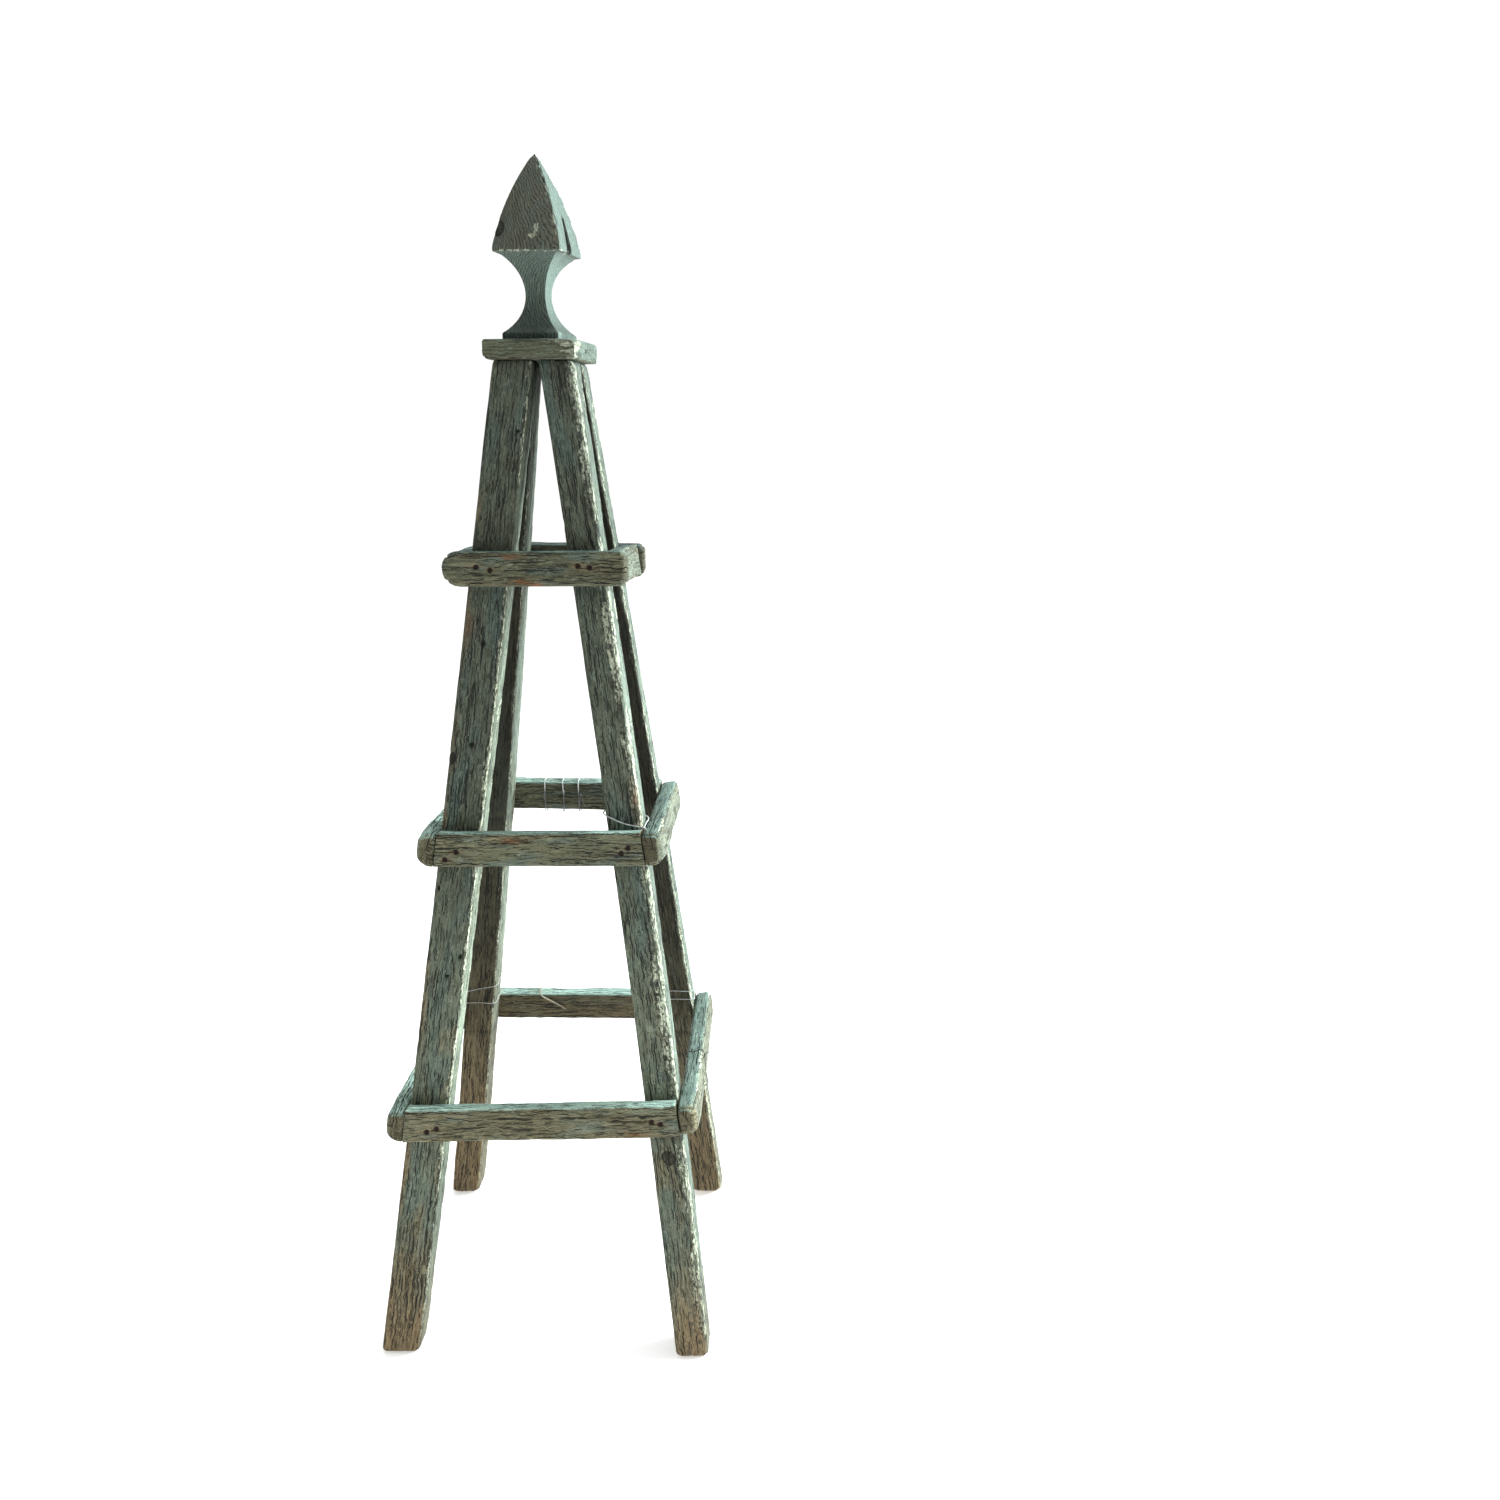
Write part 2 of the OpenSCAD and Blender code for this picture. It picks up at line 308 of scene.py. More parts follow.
def on_leg(p, corner):
    """From a leg's own frame (across, through, up from the foot) to the object's."""
    z = p[:, 2]
    x = (p[:, 0] + LEG_WIDE / 2) / math.cos(SLOPE) - half_at(z)
    y = (p[:, 1] + LEG_NARROW / 2) / math.cos(SLOPE) - half_at(z)
    return turned(np.stack([x, y, z], -1), 90 * corner)


# ---- pieces
def piece(name, points, faces, material, nodes, marks=None):
    """One closed mesh, given in millimetres, that stands for these CAD nodes."""
    mesh = bpy.data.meshes.new(name)
    mesh.from_pydata((points * MM).tolist(), [], [tuple(f) for f in faces])
    mesh.polygons.foreach_set("use_smooth", np.ones(len(mesh.polygons), dtype=bool))
    for key, values in (marks or {}).items():
        vector = values.ndim == 2
        layer = mesh.attributes.new(key, "FLOAT_VECTOR" if vector else "FLOAT", "POINT")
        layer.data.foreach_set("vector" if vector else "value", values.astype(np.float32).ravel())
    mesh.materials.append(material)
    made = bpy.data.objects.new(name, mesh)
    bpy.context.scene.collection.objects.link(made)
    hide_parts(*nodes)
    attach(made, "root")
    return made


def marks_for(g, offset, across, worn, crack, bared, soil, rust, cool, shade):
    """The mesh attributes that the wood material reads."""
    return {
        "shade": shade,
        "across": across,
        "wood": g + np.array([0.0, 0.0, offset]),
        "wear_light_and_shade": np.stack([worn, np.clip(crack, 0, 1), bared], -1),
        "stain_and_light": np.stack([soil, rust, cool], -1),
    }


def across_grain(p, half, seed):
    """Distance round a stick's section from one of its edges, wandering along the grain."""
    hx, hy = half
    x, y = p[:, 0], p[:, 1]
    on_side = np.abs(x) / hx > np.abs(y) / hy
    sides = np.where(x > 0, 4 * hx + 3 * hy + y, 2 * hx + hy - y)
    flats = np.where(y > 0, hx - x, 3 * hx + 2 * hy + x)
    wander = 2.6 * noise(p, (34, 34, 80), seed + 40) + 0.8 * noise(p, (14, 14, 22), seed + 41)
    return np.where(on_side, sides, flats) + wander


def edge_wear(p, half, reach):
    """1 on a stick's long edges, falling to 0 that far in from them."""
    dx = half[0] - np.abs(p[:, 0])
    dy = half[1] - np.abs(p[:, 1])
    return 1 - ramp(np.hypot(np.maximum(dx, 0), np.maximum(dy, 0)), 0, reach)


# ---- legs
LEG_STEP = 1.15
LEG_STEP_Z = 3.6

# Each table below has one entry a leg, in CORNERS order. Places are in the leg's own
# frame: across, through, and up from the foot, with the outer corner at minus, minus.
LEG_PITHS = ((20.0, 70.0), (75.0, -18.0), (-48.0, 52.0), (62.0, 34.0))
# Knots, with their sizes
LEG_KNOTS = (
    ((-24.0, -23.0, 832.0, 7.0),),
    ((-26.5, 0.5, 287.0, 8.5),),
    ((-26.5, 0.0, 610.0, 8.0), (10.0, 23.0, 1010.0, 6.0)),
    ((-26.5, 3.0, 330.0, 8.0), (26.5, -4.0, 935.0, 7.0)),
)
# Old nail holes away from the rails, with their radii
LEG_HOLES = (
    (
        (17.3, -23.0, 1257.0, 2.4),
        (1.9, -23.0, 984.0, 3.0),
        (1.3, -23.0, 850.0, 3.6),
        (17.8, -23.0, 563.0, 2.8),
        (3.2, -23.0, 537.0, 2.6),
        (-21.0, -23.0, 657.0, 2.4),
    ),
    (),
    ((-26.5, -6.0, 850.0, 2.2),),
    ((-26.5, 8.0, 905.0, 2.0),),
)
# Rust stains, with how far they spread
LEG_RUST = (
    ((-20.0, -23.0, 1010.0, 7.0), (2.0, -23.0, 842.0, 4.0)),
    ((-26.5, -20.0, 778.0, 8.0), (-26.5, -21.0, 742.0, 7.0)),
    (),
    (),
)
# Worn radius of the long edges, round the section from the outer corner
LEG_EDGES = ((4.0, 3.5, 4.0, 4.5), (6.5, 4.0, 5.0, 3.5), (7.0, 5.0, 4.5, 6.0), (5.0, 4.5, 5.0, 4.0))
# How pale the same edges have worn, and how far in from them
LEG_PALE = ((0.2, 1.0, 0.5, 0.2), (1.5, 0.4, 0.3, 0.2), (1.0, 0.7, 0.5, 0.9), (0.5, 0.5, 0.7, 0.5))
LEG_REACH = (10.0, 22.0, 15.0, 12.0)
# How much rounder the foot has worn
LEG_ROUND = (5.0, 5.0, 11.0, 5.0)
# How high the ground's brown has climbed
LEG_SOIL = (210.0, 170.0, 420.0, 640.0)
# How light the paint is, how much darker the inner faces are painted as shade, and how much
# lighter the front of the foot is painted as light
LEG_SHADE = (0.86, 0.97, 0.95, 0.8)
LEG_INNER_SHADE = (0.0, 0.3, 0.76, 0.6)
LEG_FOOT = (1.15, 0.95, 2.7, 2.3)
# How much the lamp-facing right-hand face is worn paler and painted bluer, partly wear and
# partly painted light, how much lighter it is painted as light, and between which heights
# that painted light comes in
LEG_LAMP_SIDE = (1.0, 1.0, 1.0, 0.8)
LEG_LAMP_TINT = (0.2, 0.45, 0.45, 0.45)
LEG_PAINTED_LIGHT = ((1.6, 200, 620), (0.6, 640, 840), (0.5, 640, 840), (1.1, 200, 620))


def corner_radius(p, radii, half):
    """Blends a value for each long edge over a stick's section."""
    sx = ramp(p[:, 0] / half[0], -0.5, 0.5)
    sy = ramp(p[:, 1] / half[1], -0.5, 0.5)
    near = radii[0] * (1 - sx) + radii[1] * sx
    far = radii[3] * (1 - sx) + radii[2] * sx
    return near * (1 - sy) + far * sy


def leg_blank(corner, half, seed):
    """A leg with worn edges and foot: its points, its faces and the way across its grain."""
    p, quads = shell(
        spaced(LEG_WIDE, LEG_STEP), spaced(LEG_NARROW, LEG_STEP), spaced(LEG_HEIGHT, LEG_STEP_Z)
    )
    across = across_grain(p, half[:2], seed)
    up = p[:, 2] + half[2]
    along = np.stack([np.sign(p[:, 0]) * 50, np.sign(p[:, 1]) * 50, up], -1)
    wobble = 1 + 0.45 * noise(along, (30, 30, 90), seed + 13) + 0.25 * noise(along, (30, 30, 25), seed + 14)
    radius = corner_radius(p, LEG_EDGES[corner], half) * wobble + LEG_ROUND[corner] * np.exp(-up / 14)
    p = rounded(p, half, np.clip(radius, 1.2, 15))
    p[:, 2] += half[2]
    return p, quads, across


def leg_rust(p, corner, patchy):
    rust = np.zeros(len(p))
    for *place, r in LEG_RUST[corner]:
        off = (p - np.array(place)) / np.array([r, r, 2.6 * r])
        rust = np.maximum(rust, np.exp(-(off ** 2).sum(1)) * (0.4 + 0.6 * patchy))
    return rust


def leg_soil(p, corner, half, patchy, lamp_side, seed):
    """Brown from the ground, and on the first leg also along its outer edge."""
    soil = 1 - ramp(p[:, 2] + 45 * noise(p, (10, 10, 70), seed + 18), 10, LEG_SOIL[corner])
    soil = soil * (1 - 0.6 * lamp_side)
    if corner == 0:
        from_edge = np.hypot(p[:, 0] + half[0], p[:, 1] + half[1])
        soil = np.maximum(soil, (0.15 + 0.8 * patchy) * (1 - ramp(from_edge, 3, 10)))
    return soil


def leg_shade(p, corner, facing, inner, lamp_side, seed):
    z = p[:, 2]
    shade = LEG_SHADE[corner] * (1 + 0.16 * noise(p, (60, 60, 260), seed + 22))
    shade = shade * (1.3 - 0.5 * ramp(z, 350, 1000)) * (0.88 + 0.12 * ramp(z, 150, 350))
    # Painted light on the lamp-facing face, coming in between the given heights, and painted shade on the
    # inner faces away from it
    amount, low, high = LEG_PAINTED_LIGHT[corner]
    painted_light = amount * ramp(z, low, high) * (1 - 0.4 * ramp(z, 1000, 1200))
    shade = shade * (1 - LEG_INNER_SHADE[corner] * inner * (1 - lamp_side)) * (1 + painted_light * lamp_side)
    # Painted light on the front of the foot
    foot_front = (1 - ramp(z, 120, 540)) * ramp(-facing[:, 1], 0.2, 0.7)
    shade = shade * (1 + (LEG_FOOT[corner] - 1) * foot_front)
    # Painted shade just under each ring and under the cap
    for roof in (*(sum(heights) / 4 for heights in RINGS.values()), LEG_HEIGHT):
        shade = shade * (1 - 0.4 * np.exp(-np.maximum(roof - z, 0) / 9) * (z < roof))
    return shade


def make_leg(corner, material):
    half = (LEG_WIDE / 2, LEG_NARROW / 2, LEG_HEIGHT / 2)
    seed = 20 + 31 * corner
    p, quads, across = leg_blank(corner, half, seed)
    wood = Wood(seed, LEG_PITHS[corner], 4.0, LEG_KNOTS[corner])
    normal = normals_of(p, quads)
    facing = turned(normal, 90 * corner)
    # The right-hand side faces the lamp: it is worn paler, partly wear and partly painted light, and painted
    # bluer and lighter as light
    lamp_side = ramp(facing[:, 0], 0.45, 0.9) * LEG_LAMP_SIDE[corner]
    inner = np.maximum(ramp(normal[:, 0], 0.4, 0.9), ramp(normal[:, 1], 0.4, 0.9))
    low_down = 1 - ramp(p[:, 2], 150, 950)
    patchy = noise(p, (16, 16, 55), seed + 15)
    edge = edge_wear(p, half, LEG_REACH[corner]) * corner_radius(p, LEG_PALE[corner], half)
    worn = edge * (0.8 + 0.9 * patchy) + 0.15 * ramp(patchy, 0.3, 0.8) + 0.3 * lamp_side * (0.7 + patchy)
    worn = np.clip(worn, 0, 1)
    bared = 0.75 * inner + 0.3 * noise(p, (40, 40, 160), seed + 19) + 0.5 * low_down * (0.7 + patchy)
    bared = np.clip(bared * (1 - 0.85 * lamp_side), 0, 1)
    rust = leg_rust(p, corner, patchy)
    lost, crack, pits, g = weather(p, normal, wood, worn)
    # Old nail holes, sunk in and painted dark as shade in them
    for *place, radius in LEG_HOLES[corner]:
        hole = dimple(p, place, radius)
        lost = lost + 4 * hole
        crack = np.maximum(crack, hole)
    # The foot's end grain has opened, and its underside stays flat on the ground
    furrow = np.maximum(noise(g, (5, 6, 70), seed + 16), 0)
    opened = 1.6 * furrow + 0.6 * np.abs(noise(p, (9, 9, 14), seed + 17))
    lost = lost + (1 - ramp(p[:, 2], 0, 26)) * opened
    lost = lost * (1 - ramp(-normal[:, 2], 0.85, 0.98))
    p = p - normal * lost[:, None]
    p[:, 2] = np.clip(p[:, 2], 0, LEG_HEIGHT)
    soil = leg_soil(p, corner, half, patchy, lamp_side, seed)
    cool = 0.8 * ramp(noise(p, (30, 30, 130), seed + 21), 0.0, 0.5) * (1 - inner) * (1 - 0.6 * low_down)
    cool = np.maximum(cool * (1 - lamp_side), LEG_LAMP_TINT[corner] * lamp_side)
    shade = leg_shade(p, corner, facing, inner, lamp_side, seed)
    marks = marks_for(g, 1000.0 * corner, across, worn, crack + 0.7 * pits, bared, soil, rust, cool, shade)
    p = settled(on_leg(p, corner))
    name = f"{CORNERS[corner]}_leg"
    return piece(f"{name}_wood", p, quads, material, [name], marks)


# ---- rails
RAIL_STEP = 1.2
RAIL_STEP_X = 2.4

# Radius of the worn ends, seen from outside: left low, left high, right low, right high
RAIL_ENDS = {
    "lower_right": (17.0, 12.0, 17.0, 22.0),
    "lower_left": (15.0, 10.0, 8.0, 6.0),
    "middle_right": (10.0, 8.0, 15.0, 20.0),
    "middle_left": (12.0, 13.0, 8.0, 6.0),
    "upper_front": (22.5, 21.5, 12.0, 11.0),
    "upper_rear": (12.0, 10.0, 14.0, 12.0),
}
RAIL_SOIL = {"lower": 0.25, "middle": 0.15, "upper": 0.1}
RAIL_SHADE = {"lower": 1.22, "middle": 1.16, "upper": 0.92}
# How much lighter each rail's top is painted as light from above, where it isn't 1.2
RAIL_TOP_LIGHT = {
    "lower_front": 1.7,
    "lower_right": 0.2,
    "middle_right": 0.1,
    "upper_right": 0.2,
    "upper_front": 0.3,
    "upper_left": 0.3,
    "upper_rear": -0.4,
}
# Rust stains: along the rail, up from its middle, and how far each spreads
RAIL_RUST = {
    "upper_front": ((-30.0, 14.0, 4.0), (-14.0, -17.0, 5.0), (2.0, -21.0, 4.0)),
    "middle_front": ((-38.0, 12.0, 4.0),),
    "lower_front": ((128.0, -17.0, 5.0),),
}
# Knots: up from the rail's middle, through it and along it, and their size
RAIL_KNOTS = {
    "upper_rear": ((-3.0, -12.5, 30.0, 7.0),),
    "lower_left": ((3.0, -12.5, -90.0, 8.0),),
    "middle_right": ((-4.0, -12.5, 62.0, 7.0),),
}


def runs_long(ring, side):
    return side % 2 == 0 if ring == "upper" else side % 2 == 1


def rail_half(ring, side):
    """Half a rail's size: along, through and up."""
    middle = half_at(ring_low(ring, side) + RAIL_H / 2)
    overhang = UPPER_OVERHANG if ring == "upper" else 0.0
    along = middle + RAIL_T + overhang if runs_long(ring, side) else middle - BUTT_GAP
    return (along, RAIL_T / 2, RAIL_H / 2)


def nail_spots(ring, side):
    """The nails of a board, in its own frame: along, and up its face."""
    half = half_at(ring_low(ring, side) + RAIL_H / 2)
    middles = (-half + LEG_WIDE / 2, half - LEG_NARROW / 2)
    pairs = FRONT_SPOTS[ring] if side % 2 == 0 else SIDE_SPOTS
    return [(middles[end] + x, RAIL_H / 2 + z) for end in (0, 1) for x, z in pairs[end]]


def rail_blank(p, ring, side, half, seed, blunt, outer):
    """A rail's points with worn edges and ends, in its own frame: along, through, up."""
    along = np.stack([p[:, 0], np.sign(p[:, 1]) * 50, np.sign(p[:, 2]) * 50], -1)
    wobble = 1 + 0.4 * noise(along, (60, 30, 30), seed + 13) + 0.3 * noise(along, (18, 30, 30), seed + 14)
    radius = (7.0 if side % 2 else 4.4) * wobble
    if runs_long(ring, side):
        radius = radius + 2.5 * ramp(np.abs(p[:, 0]), half[0] - 25, half[0]) * outer
    else:
        near_end = ramp(np.abs(p[:, 0]), half[0] - 8, half[0])
        radius = radius * (1 - near_end) + 1.6 * near_end
    radius = radius * (1 - 0.5 * blunt * (1 - outer)) + 3.0 * blunt * outer
    p = rounded(p, half, np.clip(radius, 1.0, 11.5))
    low_share = np.clip(-p[:, 2] / half[2], 0, 1) ** 2.6
    high_share = np.clip(p[:, 2] / half[2], 0, 1) ** 2.6
    p[:, 1] += blunt * outer * (6.0 * low_share + 4.0 * high_share)
    if runs_long(ring, side):
        return round_plan(p, half[0], half[2], RAIL_ENDS[f"{ring}_{SIDES[side]}"])
    # A short rail's ends are cut to the slope of the rails they meet
    share = p[:, 0] / half[0]
    tilt = math.tan(ring_tilt(ring, side))
    p[:, 0] = share * (half_at(ring_low(ring, side) + p[:, 2] + half[2] + share * half[0] * tilt) - BUTT_GAP)
    return p


def rail_nail_marks(p, ring, side, half):
    """Where a rail's nails have sunk in, their holes painted dark as shade, and the rust that has run from
    them.
    """
    holes = np.zeros(len(p))
    rust = np.zeros(len(p))
    outside = 1 - ramp(p[:, 1], -half[1] + 4, -half[1] + 7)
    for x, up in nail_spots(ring, side):
        dx = p[:, 0] - x
        dz = p[:, 2] + half[2] - up
        hole = 1 - ramp(np.hypot(dx, dz), NAIL_HEAD_R * 0.8, NAIL_HEAD_R * 1.35)
        holes = np.maximum(holes, hole * outside)
        streak = np.exp(-(dz / 3.0) ** 2 - (dx / 9.0) ** 2)
        rust = np.maximum(rust, 0.35 * streak * outside)
    return holes, rust


def make_rail(ring, side, material):
    name = f"{ring}_{SIDES[side]}"
    seed = 200 + 37 * side + 151 * list(RINGS).index(ring)
    half = rail_half(ring, side)
    p, quads = shell(spaced(2 * half[0], RAIL_STEP_X), spaced(RAIL_T, RAIL_STEP), spaced(RAIL_H, RAIL_STEP))
    across = across_grain(p[:, [2, 1, 0]] * (-1, 1, 1), (half[2], half[1]), seed)
    outer = ramp(-p[:, 1], -half[1], half[1])
    # The side rails' front ends have worn round on their outer side
    forward = {1: -1, 3: 1}.get(side, 0) * p[:, 0]
    blunt = ramp(forward, half[0] - 55, half[0]) * (side % 2)
    p = rail_blank(p, ring, side, half, seed, blunt, outer)
    # The grain runs along X, and the wood's own frame has it last
    wp = p[:, [2, 1, 0]].copy()
    pith = (30.0 * math.sin(seed), 45.0 + 15 * math.cos(seed * 1.7))
    wood = Wood(seed, pith, 3.0, RAIL_KNOTS.get(name, ()))
    normal = normals_of(p, quads)
    inward = ramp(normal[:, 1], 0.2, 0.8)
    top = ramp(normal[:, 2], 0.2, 0.65)
    end_grain = ramp(np.abs(normal[:, 0]), 0.7, 0.95)
    lamp_side = ramp(turned(normal, 90 * side)[:, 0], 0.45, 0.9)
    patchy = noise(wp, (12, 12, 40), seed + 15)
    flayed = 0.85 if side % 2 else 0.3
    edge = edge_wear(wp, (half[2], half[1]), 8)
    worn = flayed * edge * (0.7 + 0.9 * patchy) + 0.15 * ramp(patchy, 0.3, 0.8)
    # The lamp side is worn paler: partly wear, partly painted light
    worn = np.clip(worn + 0.35 * lamp_side * (0.7 + patchy), 0, 1)
    lost, crack, pits, g = weather(wp, normal[:, [2, 1, 0]], wood, worn, 1.0, 0.4)
    lost = lost * (1 - 0.7 * ramp(p[:, 1], half[1] - 2.0, half[1]))
    holes, rust = rail_nail_marks(p, ring, side, half)
    lost = lost + 2.2 * holes
    crack = np.maximum(crack, holes)
    for x, z, r in RAIL_RUST.get(name, ()):
        off = ((p[:, 0] - x) / (2.8 * r)) ** 2 + ((p[:, 2] - z) / (0.7 * r)) ** 2
        rust = np.maximum(rust, np.exp(-off) * (0.9 + 0.9 * patchy))
    p = p - normal * lost[:, None]
    tip = ramp(forward, half[0] - 16, half[0] - 4) * (name == "lower_right") * outer
    bared = 0.45 + 0.4 * inward + 0.4 * noise(wp, (30, 30, 90), seed + 19)
    bared = bared * (0.3 if name == "middle_rear" else 1.0)
    bared = np.clip(bared * (1 - top) * (1 - 0.8 * lamp_side), 0, 1)
    bared = np.maximum(np.maximum(bared, end_grain), 0.8 * tip)
    # Bluer on top and on the lamp side as painted light, and in patches of the paint
    cool = np.maximum(top, 0.8 * ramp(noise(wp, (14, 14, 60), seed + 21), 0.15, 0.5))
    cool = np.maximum(cool * (1 - lamp_side), 0.45 * lamp_side) * (1 - end_grain) * (1 - tip)
    soil = (RAIL_SOIL[ring] + (0.25 if name == "lower_rear" else 0.0)) * (1 - top)
    # Painted shade on the inner faces, most on the rear rails; end grain is darker
    inner_shade = 0.52 if name == "lower_rear" else 0.42 if side == 2 else 0.3
    end_dark = 0.46 if name == "middle_right" else 0.3
    shade = (1 - inner_shade * inward) * (1 - end_dark * end_grain)
    shade = shade * (1 + 0.2 * noise(wp, (50, 50, 120), seed + 22)) * RAIL_SHADE[ring]
    # Painted light on the top, the lamp side painted a little darker, and the worn tip lighter
    shade = shade * (1 + RAIL_TOP_LIGHT.get(name, 1.2) * top) * (1 - 0.1 * lamp_side) * (1 + 0.3 * tip)
    marks = marks_for(g, 700.0 * seed, across, worn, crack + 0.7 * pits, bared, soil, rust, cool, shade)
    p[:, 1] -= half[1]
    p[:, 2] += half[2]
    p = settled(on_board(p, ring, side))
    return piece(f"{name}_rail_wood", p, quads, material, [f"{name}_rail"], marks)


# ---- lofted shapes
def square_ring(count):
    """Points round a unit square and their directions on a unit circle."""
    side = np.linspace(-1, 1, count // 4 + 1)[:-1]
    one = np.ones_like(side)
    sides = ((side, -one), (one, side), (-side, one), (-one, -side))
    square = np.concatenate([np.stack(xy, -1) for xy in sides])
    return square, square / np.linalg.norm(square, axis=1, keepdims=True)


def resampled(path, step):
    """A polyline with points this far apart, its corners slightly eased."""
    path = np.array(path, dtype=float)
    run = np.concatenate([[0], np.cumsum(np.linalg.norm(np.diff(path[:, :2], axis=0), axis=1))])
    at = np.linspace(0, run[-1], max(2, round(run[-1] / step)) + 1)
    out = np.stack([np.interp(at, run, path[:, k]) for k in range(path.shape[1])], -1)
    eased = out.copy()
    eased[1:-1] = 0.25 * out[:-2] + 0.5 * out[1:-1] + 0.25 * out[2:]
    return eased


def skin(rows, sides, ring=False):
    """Faces over rows that each close on themselves. In a ring the last row meets the first."""
    low = np.arange(rows if ring else rows - 1)[:, None]
    high = (low + 1) % rows
    j = np.arange(sides)[None, :]
    after = (j + 1) % sides
    corners = (low * sides + j, low * sides + after, high * sides + after, high * sides + j)
    return np.stack(corners, -1).reshape(-1, 4)


def closed_ends(points, quads, sides, first, last, flip=False):
    """Puts a point at each end of a skin, with a fan of faces to it, and turns faces if asked."""
    start = len(points)
    top = start - sides
    fans = [(start, (k + 1) % sides, k) for k in range(sides)]
    fans += [(start + 1, top + k, top + (k + 1) % sides) for k in range(sides)]
    if flip:
        quads = quads[:, ::-1]
        fans = [(a, c, b) for a, b, c in fans]
    return np.concatenate([points, [first, last]]), [tuple(q) for q in quads] + fans


def lofted(path, count, radius):
    """Rows of a square section, rounded at its corners, along (half width, z, squareness)."""
    square, circle = square_ring(count)
    rows = []
    for w, z, s in path:
        r = min(radius, w * 0.6)
        limit = max(w - r, 0.0)
        at = square * w
        inner = np.clip(at, -limit, limit)
        d = at - inner
        length = np.maximum(np.linalg.norm(d, axis=1, keepdims=True), 1e-9)
        xy = (inner + d / length * r) * s + circle * w * (1 - s)
        rows.append(np.concatenate([xy, np.full((count, 1), z)], 1))
    return np.concatenate(rows)


# ---- cap plate
def cap_path():
    """A section of the cap: up its bore, over its top, down its rim and back underneath."""
    half = CAP_W / 2
    top = resampled([(TENON_R, 0, 0), (TENON_R, CAP_T, 0), (40, CAP_T, 1), (half, CAP_T, 1)], 1.4)
    rim = resampled([(half, CAP_T, 1), (half, 0, 1)], 1.3)
    under = resampled([(half, 0, 1), (40, 0, 1), (TENON_R, 0, 0)], 2.2)
    return np.concatenate([top[:-1], rim[:-1], under[:-1]])


def make_cap(material):
    count = 352
    half = CAP_W / 2
    seed = 901
    path = cap_path()
    p = lofted(path, count, 3.5)
    quads = skin(len(path), count, True)[:, ::-1]
    centred = p - np.array([0, 0, CAP_T / 2])
    across = across_grain(centred[:, [1, 2, 0]] * (1, -1, 1), (half, CAP_T / 2), seed)
    # Ease the top and bottom rims
    wobble = 1 + 0.5 * noise(p, (25, 25, 200), seed) + 0.3 * noise(p, (9, 9, 200), seed + 1)
    outer = ramp(np.maximum(np.abs(p[:, 0]), np.abs(p[:, 1])), 30, 45)
    eased = rounded(centred, (half, half, CAP_T / 2), np.clip(2.6 * wobble, 0.8, 6))
    share = outer[:, None]
    p = np.where(share > 0, eased * share + centred * (1 - share), centred)
    p = round_plan(p, half, CAP_T / 2, (8.0, 2.5, 3.0, 3.5))
    wp = p[:, [1, 2, 0]].copy()
    normal = normals_of(p, quads)
    lamp_side = ramp(normal[:, 0], 0.45, 0.9)
    top = ramp(normal[:, 2], 0.35, 0.8)
    patchy = noise(wp, (12, 12, 30), seed + 15)
    from_rim = half - np.maximum(np.abs(p[:, 0]), np.abs(p[:, 1]))
    edge = (1 - ramp(from_rim, 0, 8)) * ramp(np.abs(p[:, 2]), CAP_T / 2 - 8, CAP_T / 2)
    near_corner = ramp(p[:, 0] - p[:, 1], 84, 112)
    worn = np.clip(0.35 * edge * (0.7 + patchy) + near_corner * (0.7 + patchy), 0, 1)
    wood = Wood(seed, (20.0, -60.0), 3.0)
    lost, crack, pits, g = weather(wp, normal[:, [1, 2, 0]], wood, worn, 0.8)
    # The front right corner has crumbled, and the finial's pin has sunk in, its hole painted dark as shade
    lumps = np.maximum(noise(wp, (9, 9, 11), seed + 17), -0.2)
    lost = lost + near_corner * (1.2 + 3.0 * lumps) + 1.4 * lamp_side * np.maximum(lumps, 0)
    pin = np.hypot(p[:, 1], p[:, 2])
    hole = (1 - ramp(pin, NAIL_HEAD_R * 0.8, NAIL_HEAD_R * 1.3)) * (p[:, 0] > half - 5)
    lost = lost * outer + 1.8 * hole
    crack = np.maximum(crack, 0.9 * hole)
    p = p - normal * lost[:, None]
    p[:, 2] += CAP_T / 2 + LEG_HEIGHT
    # The top and the lamp side are painted lighter and bluer as light, and the lamp side is worn paler
    bared = np.clip(0.3 + 0.4 * noise(wp, (30, 30, 60), seed + 19), 0, 1) * (1 - 0.8 * lamp_side)
    cool = np.maximum(top, 0.7 * lamp_side)
    shade = 0.82 * (1 + 0.2 * noise(wp, (40, 40, 90), seed + 22)) * (1 + 0.4 * top) * (1 + 0.15 * lamp_side)
    worn = np.clip(worn + 0.3 * lamp_side * (0.7 + patchy), 0, 1)
    soil = np.zeros(len(p))
    crack = crack + 0.7 * pits
    marks = marks_for(g, 90000.0, across, worn, crack, bared, soil, 0.3 * hole, cool, shade)
    p = settled(turned(p, -CAP_TURN))
    return piece("cap_plate_wood", p, quads, material, ["cap_plate"], marks)


# ---- finial
FOOT = 39.0
PLINTH = 7.0
HEAD = 46.5
NECK = 14.0
NECK_R = 60.0
LIP_LOW = 108.0
LIP_HIGH = 114.0
TIP_HALF = 2.0
HEAD_LEAN = math.radians(11)
# A pale scar on the head's front, a split up its right side, and a chipped notch
FINIAL_SCARS = (((13.0, -42.0, 137.0), (4.4, 10.0)), ((7.0, -44.0, 127.0), (7.0, 4.5)))
SPLIT_FOOT = -9.0
SPLIT_LEAN = 0.11
SPLIT_TOP = 158.0
NOTCH = (18.0, 18.0, 199.0)


